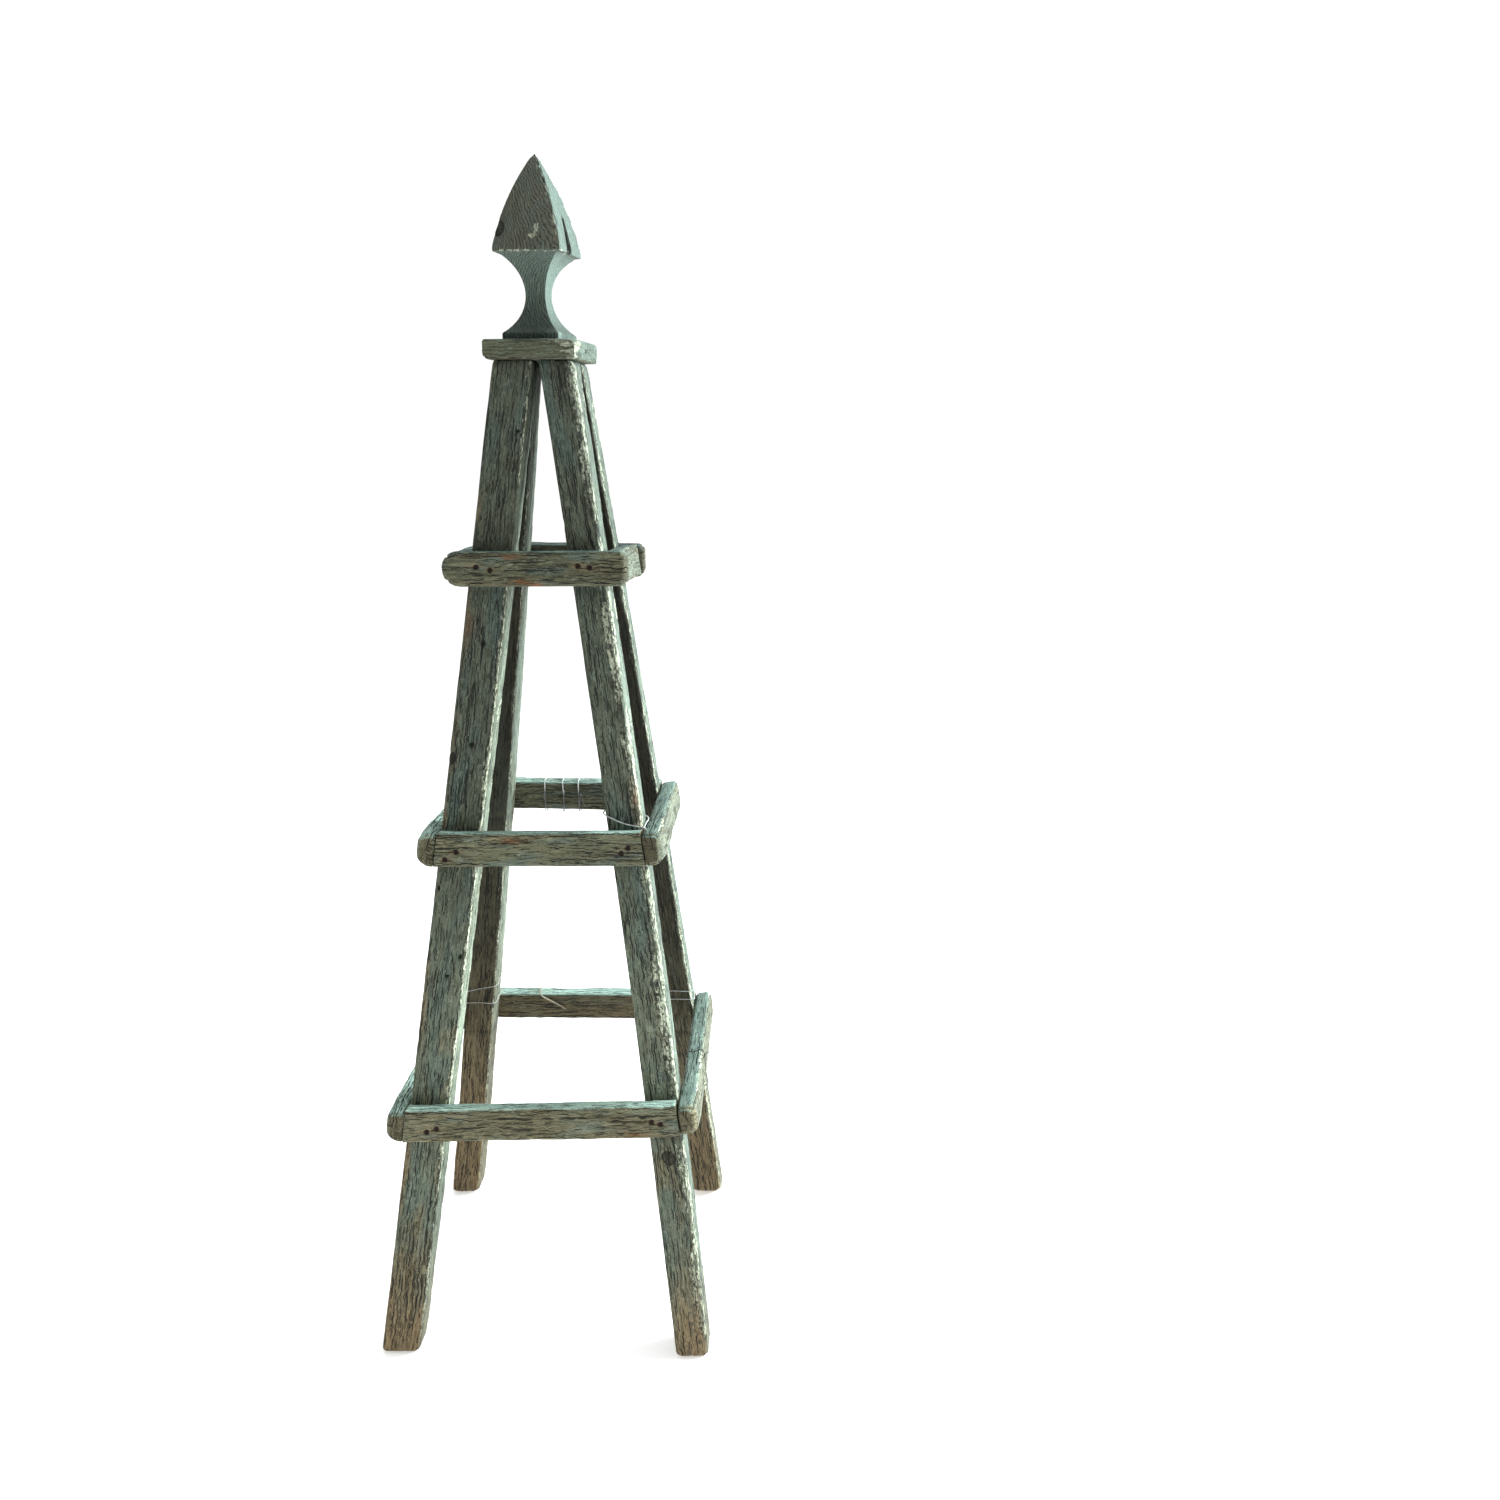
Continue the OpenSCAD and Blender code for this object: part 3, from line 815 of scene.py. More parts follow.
def finial_path():
    """(half width, height above the cap, squareness) up the finial, from its tenon."""
    rise = TIP - CAP_TOP
    neck_z = (PLINTH + LIP_LOW) / 2
    centre = NECK + NECK_R
    start = neck_z - math.sqrt(NECK_R ** 2 - (centre - FOOT) ** 2)
    out = [(TENON_R, -TENON_LEN, 0), (TENON_R, 0, 0), (FOOT - 6, 0, 1), (FOOT, 0, 1), (FOOT, start, 1)]
    for z in np.linspace(start, LIP_LOW, 60)[1:]:
        out.append((centre - math.sqrt(NECK_R ** 2 - (z - neck_z) ** 2), z, 1))
    out += [(HEAD, LIP_LOW, 1), (HEAD, LIP_HIGH, 1)]
    head_rise = rise - LIP_HIGH
    head_run = HEAD - TIP_HALF
    chord = math.hypot(head_rise, head_run)
    radius = chord / 2 / math.sin(math.atan(head_run / head_rise) - HEAD_LEAN)
    cx = HEAD - radius * math.cos(HEAD_LEAN)
    cz = LIP_HIGH - radius * math.sin(HEAD_LEAN)
    for z in np.linspace(LIP_HIGH, rise, 60)[1:]:
        out.append((cx + math.sqrt(radius ** 2 - (z - cz) ** 2), z, 1))
    return resampled(out, 1.35)


def finial_split(p, on_right, seed):
    """How deep the split in the head's side is, and how dark it is painted as shade, wider than the split
    itself.
    """
    line = p[:, 1] - SPLIT_FOOT - SPLIT_LEAN * (p[:, 2] - LIP_LOW)
    line = np.abs(line + 0.7 * noise(p, (20, 20, 16), seed + 21))
    reach = ramp(p[:, 2], LIP_LOW - 1, LIP_LOW + 1) * (1 - ramp(p[:, 2], SPLIT_TOP - 8, SPLIT_TOP)) * on_right
    wide = 8.0 - 4.5 * ramp(p[:, 2], LIP_LOW, SPLIT_TOP)
    depth = 11 * (1 - ramp(line, 0.75 * wide, 1.0 * wide)) * reach
    return depth, (1 - ramp(line, 1.1 * wide, 1.5 * wide)) * reach


def finial_shade(p, lamp_side, seed):
    z = p[:, 2]
    foot_corner = ramp(p[:, 0] - p[:, 1], 55, 76) * (1 - ramp(z, 8, 34))
    shade = 0.93 * (1 + 0.12 * noise(p, (40, 40, 60), seed + 23))
    # Darker towards the bottom, painted light on the lamp side, and lighter where the foot's front right
    # corner has worn
    shade = shade * (1 - 0.25 * (1 - ramp(z, 0, 60))) * (1 + 0.3 * lamp_side) * (1 + 1.0 * foot_corner)
    # Painted shade on the plinth, away from the lamp side
    return shade * (1 - 0.25 * (1 - ramp(z, PLINTH - 1, PLINTH + 2)) * (1 - lamp_side))


def make_finial(material):
    count = 280
    seed = 777
    path = finial_path()
    p = lofted(path, count, 1.5)
    quads = skin(len(path), count)
    normal = normals_of(p, quads)
    lamp_side = ramp(normal[:, 0], 0.45, 0.9)
    carved = ramp(p[:, 2], 0, 4)
    level = np.repeat(path[:, 0], count)
    edge = (1 - ramp(np.hypot(level - np.abs(p[:, 0]), level - np.abs(p[:, 1])), 0, 7)) * carved
    across = 40 * across_grain(p / np.stack([level, level, level * 0 + 1], -1), (1.0, 1.0), seed)
    patchy = noise(p, (10, 10, 24), seed + 15)
    worn = np.clip(0.3 * edge * (0.7 + patchy), 0, 1)
    wood = Wood(seed, (68.0, 60.0), 2.0, ((-40.0, -42.0, 138.0, 9.0),))
    lost, crack, pits, g = weather(p, normal, wood, worn, 0.4, 0.15)
    lost = lost * carved
    # Chips along the head's right-hand edges
    head = ramp(p[:, 2], LIP_LOW - 4, LIP_LOW + 2)
    on_right = ramp(p[:, 0] / np.maximum(level, 1), 0.3, 0.8) * head
    front = ramp(-p[:, 1], 0, 12)
    chips = (0.5 + 1.5 * noise(p, (6, 6, 10), seed + 20)) * edge ** 1.2 * on_right
    lost = lost + np.clip(chips, 0, 2) * (3.4 * front + 2.6 * (1 - front))
    worn = np.maximum(worn, ramp(chips, 0.15, 0.5) * (0.5 + patchy))
    for (x, y, z), (rx, rz) in FINIAL_SCARS:
        off = np.hypot((p[:, 0] - x) / rx, (p[:, 2] - z) / rz) + 0.5 * noise(p, (4, 4, 5), seed + 22)
        scar = (1 - ramp(off, 0.6, 1.0)) * (np.abs(p[:, 1] - y) < 9)
        worn = np.maximum(worn, 0.9 * scar)
        lost = lost + 0.8 * scar
    split, split_dark = finial_split(p, on_right, seed)
    notch = dimple(p, NOTCH, 4.6)
    lost = lost + split
    lost = lost + 5 * notch + 1.5 * ramp(p[:, 2], TIP - CAP_TOP - 7, TIP - CAP_TOP)
    # The split and the notch are painted dark, as shade in them
    crack = np.maximum(np.maximum(crack, split_dark), notch)
    p = p - normal * lost[:, None]
    lip_edge = np.exp(-((p[:, 2] - LIP_LOW - 1) / 1.6) ** 2) * ramp(-p[:, 1], 20, 40)
    worn = np.maximum(worn, lip_edge * (0.7 + 1.2 * patchy))
    bared = np.clip((0.55 + 0.3 * patchy) * ramp(p[:, 2], LIP_LOW, LIP_HIGH), 0, 1) * (1 - 0.8 * lamp_side)
    # Bluer below the head, and on the lamp side as painted light
    cool = 1 - ramp(p[:, 2], LIP_LOW - 4, LIP_LOW + 4)
    cool = np.maximum(cool * 0.75, 0.8 * lamp_side)
    shade = finial_shade(p, lamp_side, seed)
    none = np.zeros(len(p))
    marks = marks_for(g, 120000.0, across, worn, crack + 0.5 * pits, bared, none, none, cool, shade)
    marks = {key: np.concatenate([values, values[[0, -1]]]) for key, values in marks.items()}
    p, faces = closed_ends(p, quads, count, [0, 0, path[0, 1]], [0, 0, path[-1, 1]])
    p[:, 2] += CAP_TOP
    p = settled(turned(p, -FINIAL_TURN))
    return piece("finial_wood", p, faces, material, ["finial"], marks)


# ---- nails and ties
WIRE_R = 0.6


def nail_mesh(head, shank_r, length, seed):
    """One nail with its head's top at the origin and its shank down -Z."""
    sides = 16
    rows = [(0.25, 0.15), (0.7, 0.05), (0.95, -0.25), (1.0, -0.8), (0.85, -1.3)]
    profile = [(head * r, z) for r, z in rows]
    profile += [(shank_r, -1.8), (shank_r, -length + 5), (shank_r * 0.2, -length)]
    angle = np.arange(sides) * 2 * math.pi / sides
    ring = np.stack([np.cos(angle), np.sin(angle)], -1)
    ragged = 1 + 0.06 * np.sin(3 * angle + seed) + 0.04 * np.sin(5 * angle + 2.1 * seed)
    points = []
    for k, (r, z) in enumerate(profile):
        xy = ring * r * (ragged[:, None] if k < 5 else 1)
        points.append(np.concatenate([xy, np.full((sides, 1), z)], 1))
    points = np.concatenate(points)
    quads = skin(len(profile), sides)
    return closed_ends(points, quads, sides, [0, 0, 0.2], [0, 0, -length - 0.3], True)


def joined(parts):
    points, faces, base = [], [], 0
    for p, f in parts:
        points.append(p)
        faces += [tuple(int(i) + base for i in face) for face in f]
        base += len(p)
    return np.concatenate(points), faces


def make_ring_nails(ring, material):
    parts = []
    for side in range(4):
        for n, (along, up) in enumerate(nail_spots(ring, side)):
            p, f = nail_mesh(NAIL_HEAD_R, NAIL_R, RAIL_NAIL, side * 4 + n)
            sunk = 2.0 + 0.5 * math.sin(3.1 * n + side)
            board = np.stack([p[:, 0] + along, -RAIL_T - p[:, 2] + sunk, p[:, 1] + up], -1)
            parts.append((settled(on_board(board, ring, side)), f))
    p, f = joined(parts)
    return piece(f"{ring}_ring_nails_steel", p, f, material, [f"{ring}_ring_nails"])


def make_cap_nails(material):
    inset = LEG_WIDE / 2 - TOP_HALF
    parts = []
    for corner in range(4):
        p, f = nail_mesh(NAIL_HEAD_R, NAIL_R, CAP_NAIL, corner)
        p = p + np.array([inset, inset, CAP_TOP - 0.4])
        parts.append((settled(turned(p, 90 * corner)), f))
    p, f = joined(parts)
    return piece("cap_nails_steel", p, f, material, ["cap_nails"])


def make_finial_pin(material):
    p, f = nail_mesh(NAIL_HEAD_R, NAIL_R, CAP_NAIL, 5)
    p = np.stack([p[:, 2] + CAP_W / 2 - 1.6, p[:, 1], -p[:, 0] + LEG_HEIGHT + CAP_T / 2], -1)
    p = settled(turned(p, -CAP_TURN))
    return piece("finial_pin_steel", p, f, material, ["finial_pin"])


def smooth_path(points, per_leg):
    """A Catmull-Rom curve through the points."""
    pts = np.array(points, dtype=float)
    padded = np.concatenate([[2 * pts[0] - pts[1]], pts, [2 * pts[-1] - pts[-2]]])
    t = np.linspace(0, 1, per_leg, endpoint=False)[:, None]
    out = []
    for a, b, c, d in zip(padded[:-3], padded[1:-2], padded[2:-1], padded[3:]):
        bend = (2 * a - 5 * b + 4 * c - d) * t ** 2
        twist = (3 * b - a - 3 * c + d) * t ** 3
        out.append(0.5 * (2 * b + (c - a) * t + bend + twist))
    out.append(pts[-1:])
    return np.concatenate(out)


def tube(path, radius):
    """A round wire along a path, with rounded ends."""
    sides = 10
    path = np.array(path)
    tangent = np.gradient(path, axis=0)
    tangent /= np.maximum(np.linalg.norm(tangent, axis=1, keepdims=True), 1e-9)
    up = np.array([0.31, 0.27, 0.91])
    u = np.cross(tangent[0], up)
    u /= np.linalg.norm(u)
    frames = []
    for t in tangent:
        u = u - t * np.dot(u, t)
        u /= np.linalg.norm(u)
        frames.append((u, np.cross(t, u)))
    angle = np.arange(sides) * 2 * math.pi / sides
    points = []
    count = len(path)
    for k, (centre, (a, b)) in enumerate(zip(path, frames)):
        r = radius * (0.55 if k in (0, count - 1) else 1.0)
        points.append(centre + r * (np.cos(angle)[:, None] * a + np.sin(angle)[:, None] * b))
    points = np.concatenate(points)
    first = path[0] - 0.4 * radius * tangent[0]
    last = path[-1] + 0.4 * radius * tangent[-1]
    return closed_ends(points, skin(count, sides), sides, first, last)


def around(half_a, half_b, clear, drift, start):
    """A loop round a rectangle, in its own plane, drifting sideways to its far end."""
    a, b = half_a + clear, half_b + clear
    corners = [(-a, -b), (-a * 0.2, -b * 1.02), (a, -b), (a * 1.02, 0)]
    corners += [(a, b), (0, b * 1.02), (-a, b), (-a * 1.02, 0)]
    order = corners[start:] + corners[:start] + [corners[start]]
    steps = len(order) - 1
    return [(x, y, drift * k / steps) for k, (x, y) in enumerate(order)]


def wire_light(p, top):
    """How bright a wire is painted: painted light at the top of what it ties, painted shade below."""
    return 0.3 + 1.2 * ramp(p[:, 2], top - 19, top - 9)


def rail_tie(ring, side, along, lean, drift, tail):
    """A tie round a rail, in the board's frame: a loop, then a loose tail."""
    loop = around(RAIL_H / 2, RAIL_T / 2, 1.3, drift, 6)
    pts = [(along + d + lean * x / RAIL_H, y - RAIL_T / 2, x + RAIL_H / 2) for x, y, d in loop]
    pts += [(along + d[0], d[1], d[2]) for d in tail]
    p, f = tube(smooth_path(pts, 7), WIRE_R)
    return settled(on_board(p, ring, side)), f


def leg_tie(corner, z, lean, drift, tail, sag=0.0, radius=WIRE_R):
    """A tie round a leg, in the leg's frame, rising by lean from its near side."""
    loop = around(LEG_WIDE / 2, LEG_NARROW / 2, 1.3, drift, 0)
    pts = []
    for x, y, d in loop:
        drop = sag if x < -LEG_WIDE / 2 - 1.5 else 0.0
        pts.append((x, y, z + d + math.tan(math.radians(lean)) * y - drop))
    pts += [(t[0], t[1], z + t[2]) for t in tail]
    p, f = tube(smooth_path(pts, 7), radius)
    return settled(on_leg(p, corner)), f


def wire_piece(node, parts, material, top=None):
    p, f = joined(parts)
    bright = np.ones(len(p)) if top is None else wire_light(p, top)
    return piece(f"{node}_wire", p, f, material, [node], {"wire_light": bright})


def make_ties(pale, dark, dry):
    rail_top = ring_low("middle", 2) + RAIL_H
    parts = [
        rail_tie("middle", 2, 43, 0, 1.5, [(2, 4, 30), (3, 3, 20)]),
        rail_tie("middle", 2, 18, 0, -2, [(-3, 4, 34), (-4, 4, 28)]),
        rail_tie("middle", 2, -9, 0, 2, [(-2, 3, 30), (-6, 4, 14), (-9, 6, 8)]),
    ]
    wire_piece("middle_rear_rail_ties", parts, pale, rail_top)
    parts = [
        leg_tie(3, 396, 12, 2, [(-30, -29, -6), (-22, -34, -16)]),
        leg_tie(3, 372, 0, -2, [(-30, -26, 4)]),
    ]
    wire_piece("rear_left_leg_ties", parts, pale)
    parts = [leg_tie(2, 392, 0, 1, [(-29, -26, 3)]), leg_tie(2, 374, 6, 2, [(-30, -20, 6)])]
    wire_piece("rear_right_leg_ties", parts, pale)
    parts = [leg_tie(1, 749, 20, 1, [(-29, -26, -9), (-31, -32, -13)], 3.5, 0.9)]
    wire_piece("front_right_leg_tie", parts, pale)
    parts = [rail_tie("lower", 1, -44, 6, 2, [(3, -30, 44), (12, -34, 30)])]
    wire_piece("lower_right_rail_tie", parts, dark)
    pts = [(76, -RAIL_T - 2, 24), (74, -RAIL_T - 2.2, 44), (72, -RAIL_T / 2, 48.6), (69, 2, 46)]
    pts += [(55, 2.6, 37), (42, 2.4, 29), (30, 2.2, 21)]
    p, f = tube(smooth_path(pts, 8), 1.2)
    p = settled(on_board(p, "lower", 2))
    marks = {"wire_light": np.ones(len(p))}
    piece("lower_rear_rail_stem", p, f, dry, ["lower_rear_rail_hook"], marks)


# ---- shader graphs
class Value:
    """A number, vector or colour that a shader works out, with arithmetic on it."""

    def __init__(self, graph, socket):
        self.graph = graph
        self.socket = socket

    def __add__(self, other):
        return self.graph.math("ADD", self, other)

    def __sub__(self, other):
        return self.graph.math("SUBTRACT", self, other)

    def __mul__(self, other):
        return self.graph.math("MULTIPLY", self, other)

    def __truediv__(self, other):
        return self.graph.math("DIVIDE", self, other)


class Graph:
    """The nodes of one material or world, under short names."""

    def __init__(self, owner):
        owner.use_nodes = True
        self.owner = owner
        self.tree = owner.node_tree
        self.tree.nodes.clear()

    def made(self, kind, inputs, **settings):
        """A new node, with values or links put on its inputs. A colour's alpha is 1."""
        made = self.tree.nodes.new(kind)
        for key, value in settings.items():
            setattr(made, key, value)
        for key, source in inputs.items():
            target = made.inputs[key]
            if isinstance(source, Value):
                self.tree.links.new(source.socket, target)
            else:
                target.default_value = (*source, 1.0) if target.type == "RGBA" else source
        return made

    def node(self, kind, inputs, output=0, **settings):
        return Value(self, self.made(kind, inputs, **settings).outputs[output])

    def attribute(self, name, output="Fac"):
        return self.node("ShaderNodeAttribute", {}, output, attribute_name=name)

    def place(self):
        return self.node("ShaderNodeTexCoord", {}, "Object")

    def split(self, vector):
        made = self.made("ShaderNodeSeparateXYZ", {0: vector})
        return [Value(self, part) for part in made.outputs]

    def joined(self, x, y):
        return self.node("ShaderNodeCombineXYZ", {0: x, 1: y})

    def noise(self, vector, size, detail=2.0, rough=0.5, offset=(0.0, 0.0, 0.0)):
        """Noise, 0 to 1, in cells of the given size."""
        scale = tuple(1.0 / s for s in size)
        at = self.node("ShaderNodeMapping", {"Vector": vector, "Location": offset, "Scale": scale})
        inputs = {"Vector": at, "Scale": 1.0, "Detail": detail, "Roughness": rough}
        return self.node("ShaderNodeTexNoise", inputs, "Fac")

    def math(self, operation, a, b=0.0):
        return self.node("ShaderNodeMath", {0: a, 1: b}, operation=operation)

    def larger(self, a, b):
        return self.math("MAXIMUM", a, b)

    def ramp(self, value, low, high, out_low=0.0, out_high=1.0):
        inputs = {"Value": value, "From Min": low, "From Max": high, "To Min": out_low, "To Max": out_high}
        return self.node("ShaderNodeMapRange", inputs, "Result", interpolation_type="SMOOTHSTEP")

    def mix(self, share, a, b, blend="MIX"):
        inputs = {0: share, 6: a, 7: b}
        return self.node("ShaderNodeMix", inputs, 2, data_type="RGBA", blend_type=blend)

    def toned(self, colour, tone):
        """A colour made lighter or darker."""
        grey = self.node("ShaderNodeCombineColor", {0: tone, 1: tone, 2: tone})
        return self.mix(1.0, colour, grey, "MULTIPLY")

    def surface(self, colour, roughness, height, distance, specular, glow=0.0):
        """Ends a material: its height runs from 0 to 1 over this distance."""
        bump = self.node("ShaderNodeBump", {"Strength": 1.0, "Distance": distance, "Height": height})
        inputs = {"Base Color": colour, "Roughness": roughness, "Specular IOR Level": specular}
        inputs.update({"Emission Strength": glow, "Normal": bump})
        shader = self.node("ShaderNodeBsdfPrincipled", inputs)
        self.made("ShaderNodeOutputMaterial", {"Surface": shader})
        return self.owner


# ---- materials
PAINT = (0.126, 0.142, 0.100)
OLIVE = (0.130, 0.141, 0.086)
COOL = (0.106, 0.154, 0.130)
PALE = (0.53, 0.57, 0.42)
SOIL = (0.236, 0.166, 0.086)
CRACK = (0.011, 0.012, 0.010)
RUST = (0.27, 0.10, 0.032)


def bent_grain(g):
    """The wood's own coordinates, jogged a little sideways, and the jog itself."""
    straight = g.attribute("wood", "Vector")
    jog = (g.noise(straight, (9.0, 9.0, 10.0), 2.0, 0.55, (2.0, 7.0, 1.0)) - 0.5) * 6.0
    return g.node("ShaderNodeVectorMath", {0: straight, 1: g.joined(jog, jog)}, operation="ADD"), jog


def thin_lines(g, value, half_width):
    """Lines along which a value passes through a half."""
    return g.ramp(g.math("ABSOLUTE", value - 0.5), half_width * 0.35, half_width, 1.0, 0.0)


def cracks(g, across, along, more, spacing, width, length, seed):
    """Thin cracks along the grain, one to a lane, each tapering to its ends."""
    at = across / spacing
    lane = g.math("FLOOR", at) + seed
    chance = g.node("ShaderNodeTexWhiteNoise", {"W": lane}, "Value", noise_dimensions="1D")
    off = g.math("ABSOLUTE", g.math("FRACT", at) - (chance * 0.6 + 0.2))
    there = g.noise(g.joined(lane * 5.31, along / length), (1.0, 1.0, 1.0), 1.0)
    opened = g.ramp(there + more, 0.5, 0.66)
    share = off * spacing / g.larger(opened, 0.05)
    return g.ramp(share, 0.25 * width, 0.6 * width, 1.0, 0.0) * g.ramp(opened, 0.05, 0.3)


def painted_wood(name, paint, bare, ring_gap, ring_depth, ring_wave, furrowed, fibrous):
    """Old thin paint over grey wood: grain, furrows, worn edges, soil and rust marks."""
    g = Graph(bpy.data.materials.new(name))
    wood, jog = bent_grain(g)
    worn, crack, bared = g.split(g.attribute("wear_light_and_shade", "Vector"))
    soil, rust, cooled = g.split(g.attribute("stain_and_light", "Vector"))
    beside, _, along = g.split(wood)
    fibre = g.noise(wood, (1.1, 1.4, 30.0), 4.0, 0.62)
    strand = g.noise(wood, (2.2, 2.8, 44.0), 3.0, 0.55, (3.1, 0.0, 0.0))
    broad = g.noise(wood, (15.0, 17.0, 110.0), 3.0, 0.6, (0.0, 5.7, 0.0))
    blotch = g.noise(wood, (10.0, 10.0, 30.0), 4.0, 0.65, (9.0, 2.0, 0.0))
    fleck = g.noise(wood, (2.4, 3.0, 11.0), 3.0, 0.6, (0.0, 0.0, 7.0))
    lace = g.noise(wood, (3.2, 3.4, 7.0), 2.0, 0.6, (5.0, 5.0, 2.0))
    grit = g.noise(wood, (0.9, 0.9, 1.6), 2.0, 0.7, (4.0, 0.0, 1.0))
    streak = g.noise(wood, (3.2, 4.0, 85.0), 2.0, 0.5, (2.0, 2.0, 5.0))
    ring = g.ramp(g.math("SINE", beside * (2 * math.pi / ring_gap) + strand * ring_wave), 0.35, 0.95)

    # Paint with bluer patches in it and, as painted light, bluer on tops and the lamp side, and grey-brown
    # wood where it has gone
    coat = g.mix(g.larger(g.ramp(blotch, 0.5, 0.7, 0.0, 0.6), cooled), paint, COOL)
    exposed = g.ramp(worn * 0.25 + broad * 0.8 + fibre * 0.5 + bared * 0.5, 0.84, 1.1)
    colour = g.mix(exposed, coat, bare)

    # Pale flakes of undercoat, mostly on worn edges, long pale streaks, and soil
    flake = g.ramp(worn * 0.52 + fleck + grit * 0.3, 1.0, 1.05)
    colour = g.mix(flake * 0.9, colour, PALE)
    colour = g.mix(thin_lines(g, streak, 0.03) * 0.14, colour, PALE)
    brown = soil * g.ramp(strand, 0.25, 0.75, 0.6, 1.1)
    colour = g.mix(g.math("MINIMUM", brown, 0.88), colour, SOIL)

    # Light and dark fibres and growth rings
    fine = 0.42 * fibrous
    wide = 0.12 * fibrous
    tone = g.ramp(fibre, 0.32, 0.68, 0.98 - fine, 0.98 + fine)
    tone = tone + g.ramp(strand, 0.34, 0.66, -wide, wide) + g.ramp(blotch, 0.3, 0.7, -0.05, 0.05)
    # The shade attribute holds painted light and shade as well as the paint's own lightness
    tone = (tone - ring * ring_depth) * g.attribute("shade")
    colour = g.toned(colour, tone)

    # Cracks, and the gaps between flakes on the worn edges, painted near black: partly dirt, partly painted
    # shade in them
    across = g.attribute("across") + jog
    more = g.ramp(broad, 0.36, 0.6, -0.05, 0.06)
    long_cracks = cracks(g, across, along, more, 5.0, 1.9, 62.0, 3.0)
    short_cracks = cracks(g, across, along, more, 3.1, 1.4, 24.0, 71.0)
    dark = g.larger(g.larger(long_cracks, short_cracks) * furrowed, g.ramp(crack, 0.25, 0.8))
    gaps = g.ramp(lace, 0.45, 0.5, 0.85 * furrowed, 0.0) * g.ramp(worn, 0.3, 0.7)
    dark = g.larger(dark, gaps)
    colour = g.mix(dark * 0.9, colour, CRACK)
    colour = g.mix(rust * g.ramp(fibre, 0.3, 0.7), colour, RUST)

    height = fibre * (0.6 * fibrous) + strand * (0.35 * fibrous)
    height = height - dark * 0.9 - ring * ring_depth + grit * 0.25 - flake * 0.5
    return g.surface(colour, g.ramp(exposed, 0.0, 1.0, 0.78, 0.92), height, 1.0 * MM, 0.24)


def rusty_steel(name):
    g = Graph(bpy.data.materials.new(name))
    grain = g.noise(g.place(), (1.3 * MM,) * 3, 4.0, 0.7)
    colour = g.mix(g.ramp(grain, 0.35, 0.65), (0.010, 0.007, 0.006), (0.026, 0.014, 0.010))
    return g.surface(colour, g.ramp(grain, 0.3, 0.7, 0.7, 0.95), grain, 0.3 * MM, 0.3)


def drawn_wire(name, dull, bright, specular):
    g = Graph(bpy.data.materials.new(name))
    grain = g.noise(g.place(), (2.0 * MM,) * 3, 4.0, 0.6)
    colour = g.mix(g.ramp(grain, 0.35, 0.65), dull, bright)
    # Painted light and shade along the wire
    colour = g.toned(colour, g.attribute("wire_light"))
    return g.surface(colour, g.ramp(grain, 0.3, 0.7, 0.45, 0.7), grain, 0.08 * MM, specular)


def pale_floor(name):
    g = Graph(bpy.data.materials.new(name))
    grain = g.noise(g.place(), (0.8, 0.8, 0.8), 3.0)
    colour = g.mix(grain, (0.86, 0.86, 0.86), (0.88, 0.88, 0.88))
    return g.surface(colour, 0.9, grain, 0.01 * MM, 0.1, 0.48)


# ---- studio
def look_at(obj, place, target):
    direction = np.array(target) - np.array(place)
    obj.location = place
    flat = math.hypot(direction[0], direction[1])
    obj.rotation_euler = (
        math.pi / 2 + math.atan2(direction[2], flat), 0, math.atan2(-direction[0], direction[1])
    )


def area_light(name, place, target, size, power, colour):
    data = bpy.data.lights.new(name, "AREA")
    data.shape = "RECTANGLE"
    data.size, data.size_y = size
    data.energy = power
    data.color = colour
    made = bpy.data.objects.new(name, data)
    bpy.context.scene.collection.objects.link(made)
    look_at(made, place, target)


def make_world():
    world = bpy.data.worlds.new("studio")
    bpy.context.scene.world = world
    g = Graph(world)
    _, depth, _ = g.split(g.node("ShaderNodeTexCoord", {}, "Generated"))
    # The paper behind is evenly white, though less light comes from in front than from behind
    seen = g.node("ShaderNodeLightPath", {}, "Is Camera Ray")
    strength = g.node("ShaderNodeMix", {0: seen, 2: g.ramp(depth, -0.7, 0.5, 0.31, 1.05), 3: 1.05})
    back = g.node("ShaderNodeBackground", {"Color": (1.0, 1.0, 1.0), "Strength": strength})
    g.made("ShaderNodeOutputWorld", {"Surface": back})


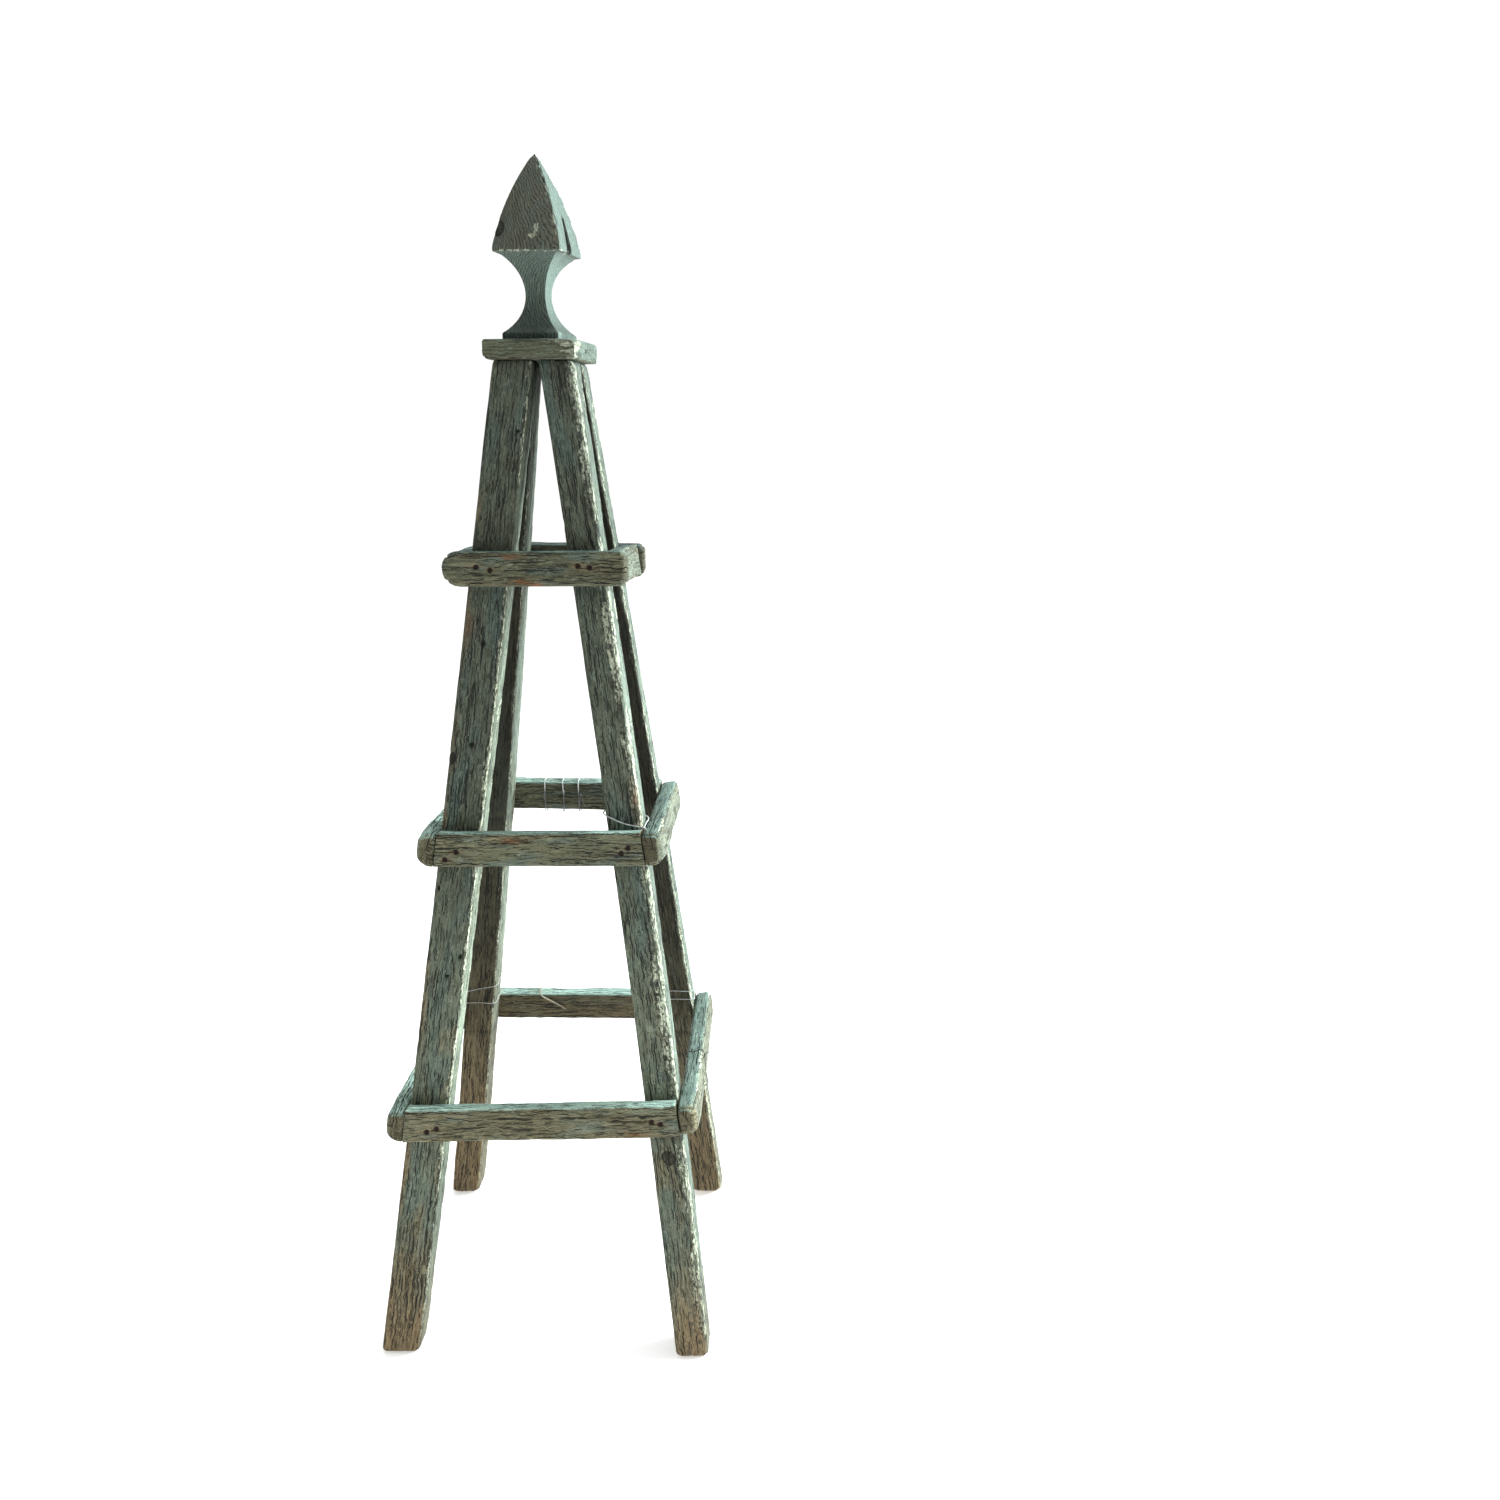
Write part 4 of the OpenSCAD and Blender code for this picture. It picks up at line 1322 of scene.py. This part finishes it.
def make_studio():
    bpy.context.scene.view_settings.view_transform = "Standard"
    make_world()
    area_light("key", (3.4, 0.9, 1.9), (0, 0, 0.8), (1.5, 3.0), 400, (0.86, 0.95, 1.0))
    area_light("overhead", (0.1, 0.6, 3.9), (0, 0, 0.6), (1.8, 1.8), 45, (0.84, 0.97, 1.0))
    mesh = bpy.data.meshes.new("floor")
    count = 64
    angle = np.arange(count) * 2 * math.pi / count
    rim = np.stack([12 * np.cos(angle), 12 * np.sin(angle), np.zeros(count)], -1)
    mesh.from_pydata(rim.tolist(), [], [tuple(range(count))])
    mesh.materials.append(pale_floor("floor_paper"))
    floor = bpy.data.objects.new("floor", mesh)
    bpy.context.scene.collection.objects.link(floor)


def make_camera():
    data = bpy.data.cameras.new("camera")
    data.lens = 31.74
    data.sensor_width = 36.0
    made = bpy.data.objects.new("camera", data)
    bpy.context.scene.collection.objects.link(made)
    made.location = (0.3244, -1.8282, 1.2427)
    made.rotation_euler = (math.radians(90 - 13.098), 0, math.radians(1.36))
    bpy.context.scene.camera = made


# ---- the obelisk
leg_paint = painted_wood("leg_paint", PAINT, (0.160, 0.148, 0.092), 3.4, 0.14, 2.4, 1.0, 1.0)
rail_paint = painted_wood("rail_paint", OLIVE, (0.150, 0.142, 0.086), 2.9, 0.14, 2.4, 1.0, 1.0)
cap_paint = painted_wood("cap_paint", OLIVE, (0.125, 0.118, 0.082), 3.0, 0.12, 2.0, 0.6, 0.7)
finial_paint = painted_wood(
    "finial_paint", (0.120, 0.133, 0.104), (0.130, 0.128, 0.094), 2.6, 0.55, 0.5, 0.08, 0.2
)
nail_steel = rusty_steel("nail_steel")
tie_wire = drawn_wire("tie_wire_metal", (0.30, 0.31, 0.29), (0.62, 0.64, 0.62), 0.5)
dark_wire = drawn_wire("dark_wire_metal", (0.03, 0.03, 0.028), (0.09, 0.085, 0.075), 0.5)
dry_stem = drawn_wire("dry_stem_skin", (0.22, 0.19, 0.13), (0.45, 0.42, 0.33), 0.3)

for corner in range(4):
    make_leg(corner, leg_paint)
for ring in RINGS:
    for side in range(4):
        make_rail(ring, side, rail_paint)
    make_ring_nails(ring, nail_steel)
make_cap(cap_paint)
make_finial(finial_paint)
make_cap_nails(nail_steel)
make_finial_pin(nail_steel)
make_ties(tie_wire, dark_wire, dry_stem)

make_studio()
make_camera()
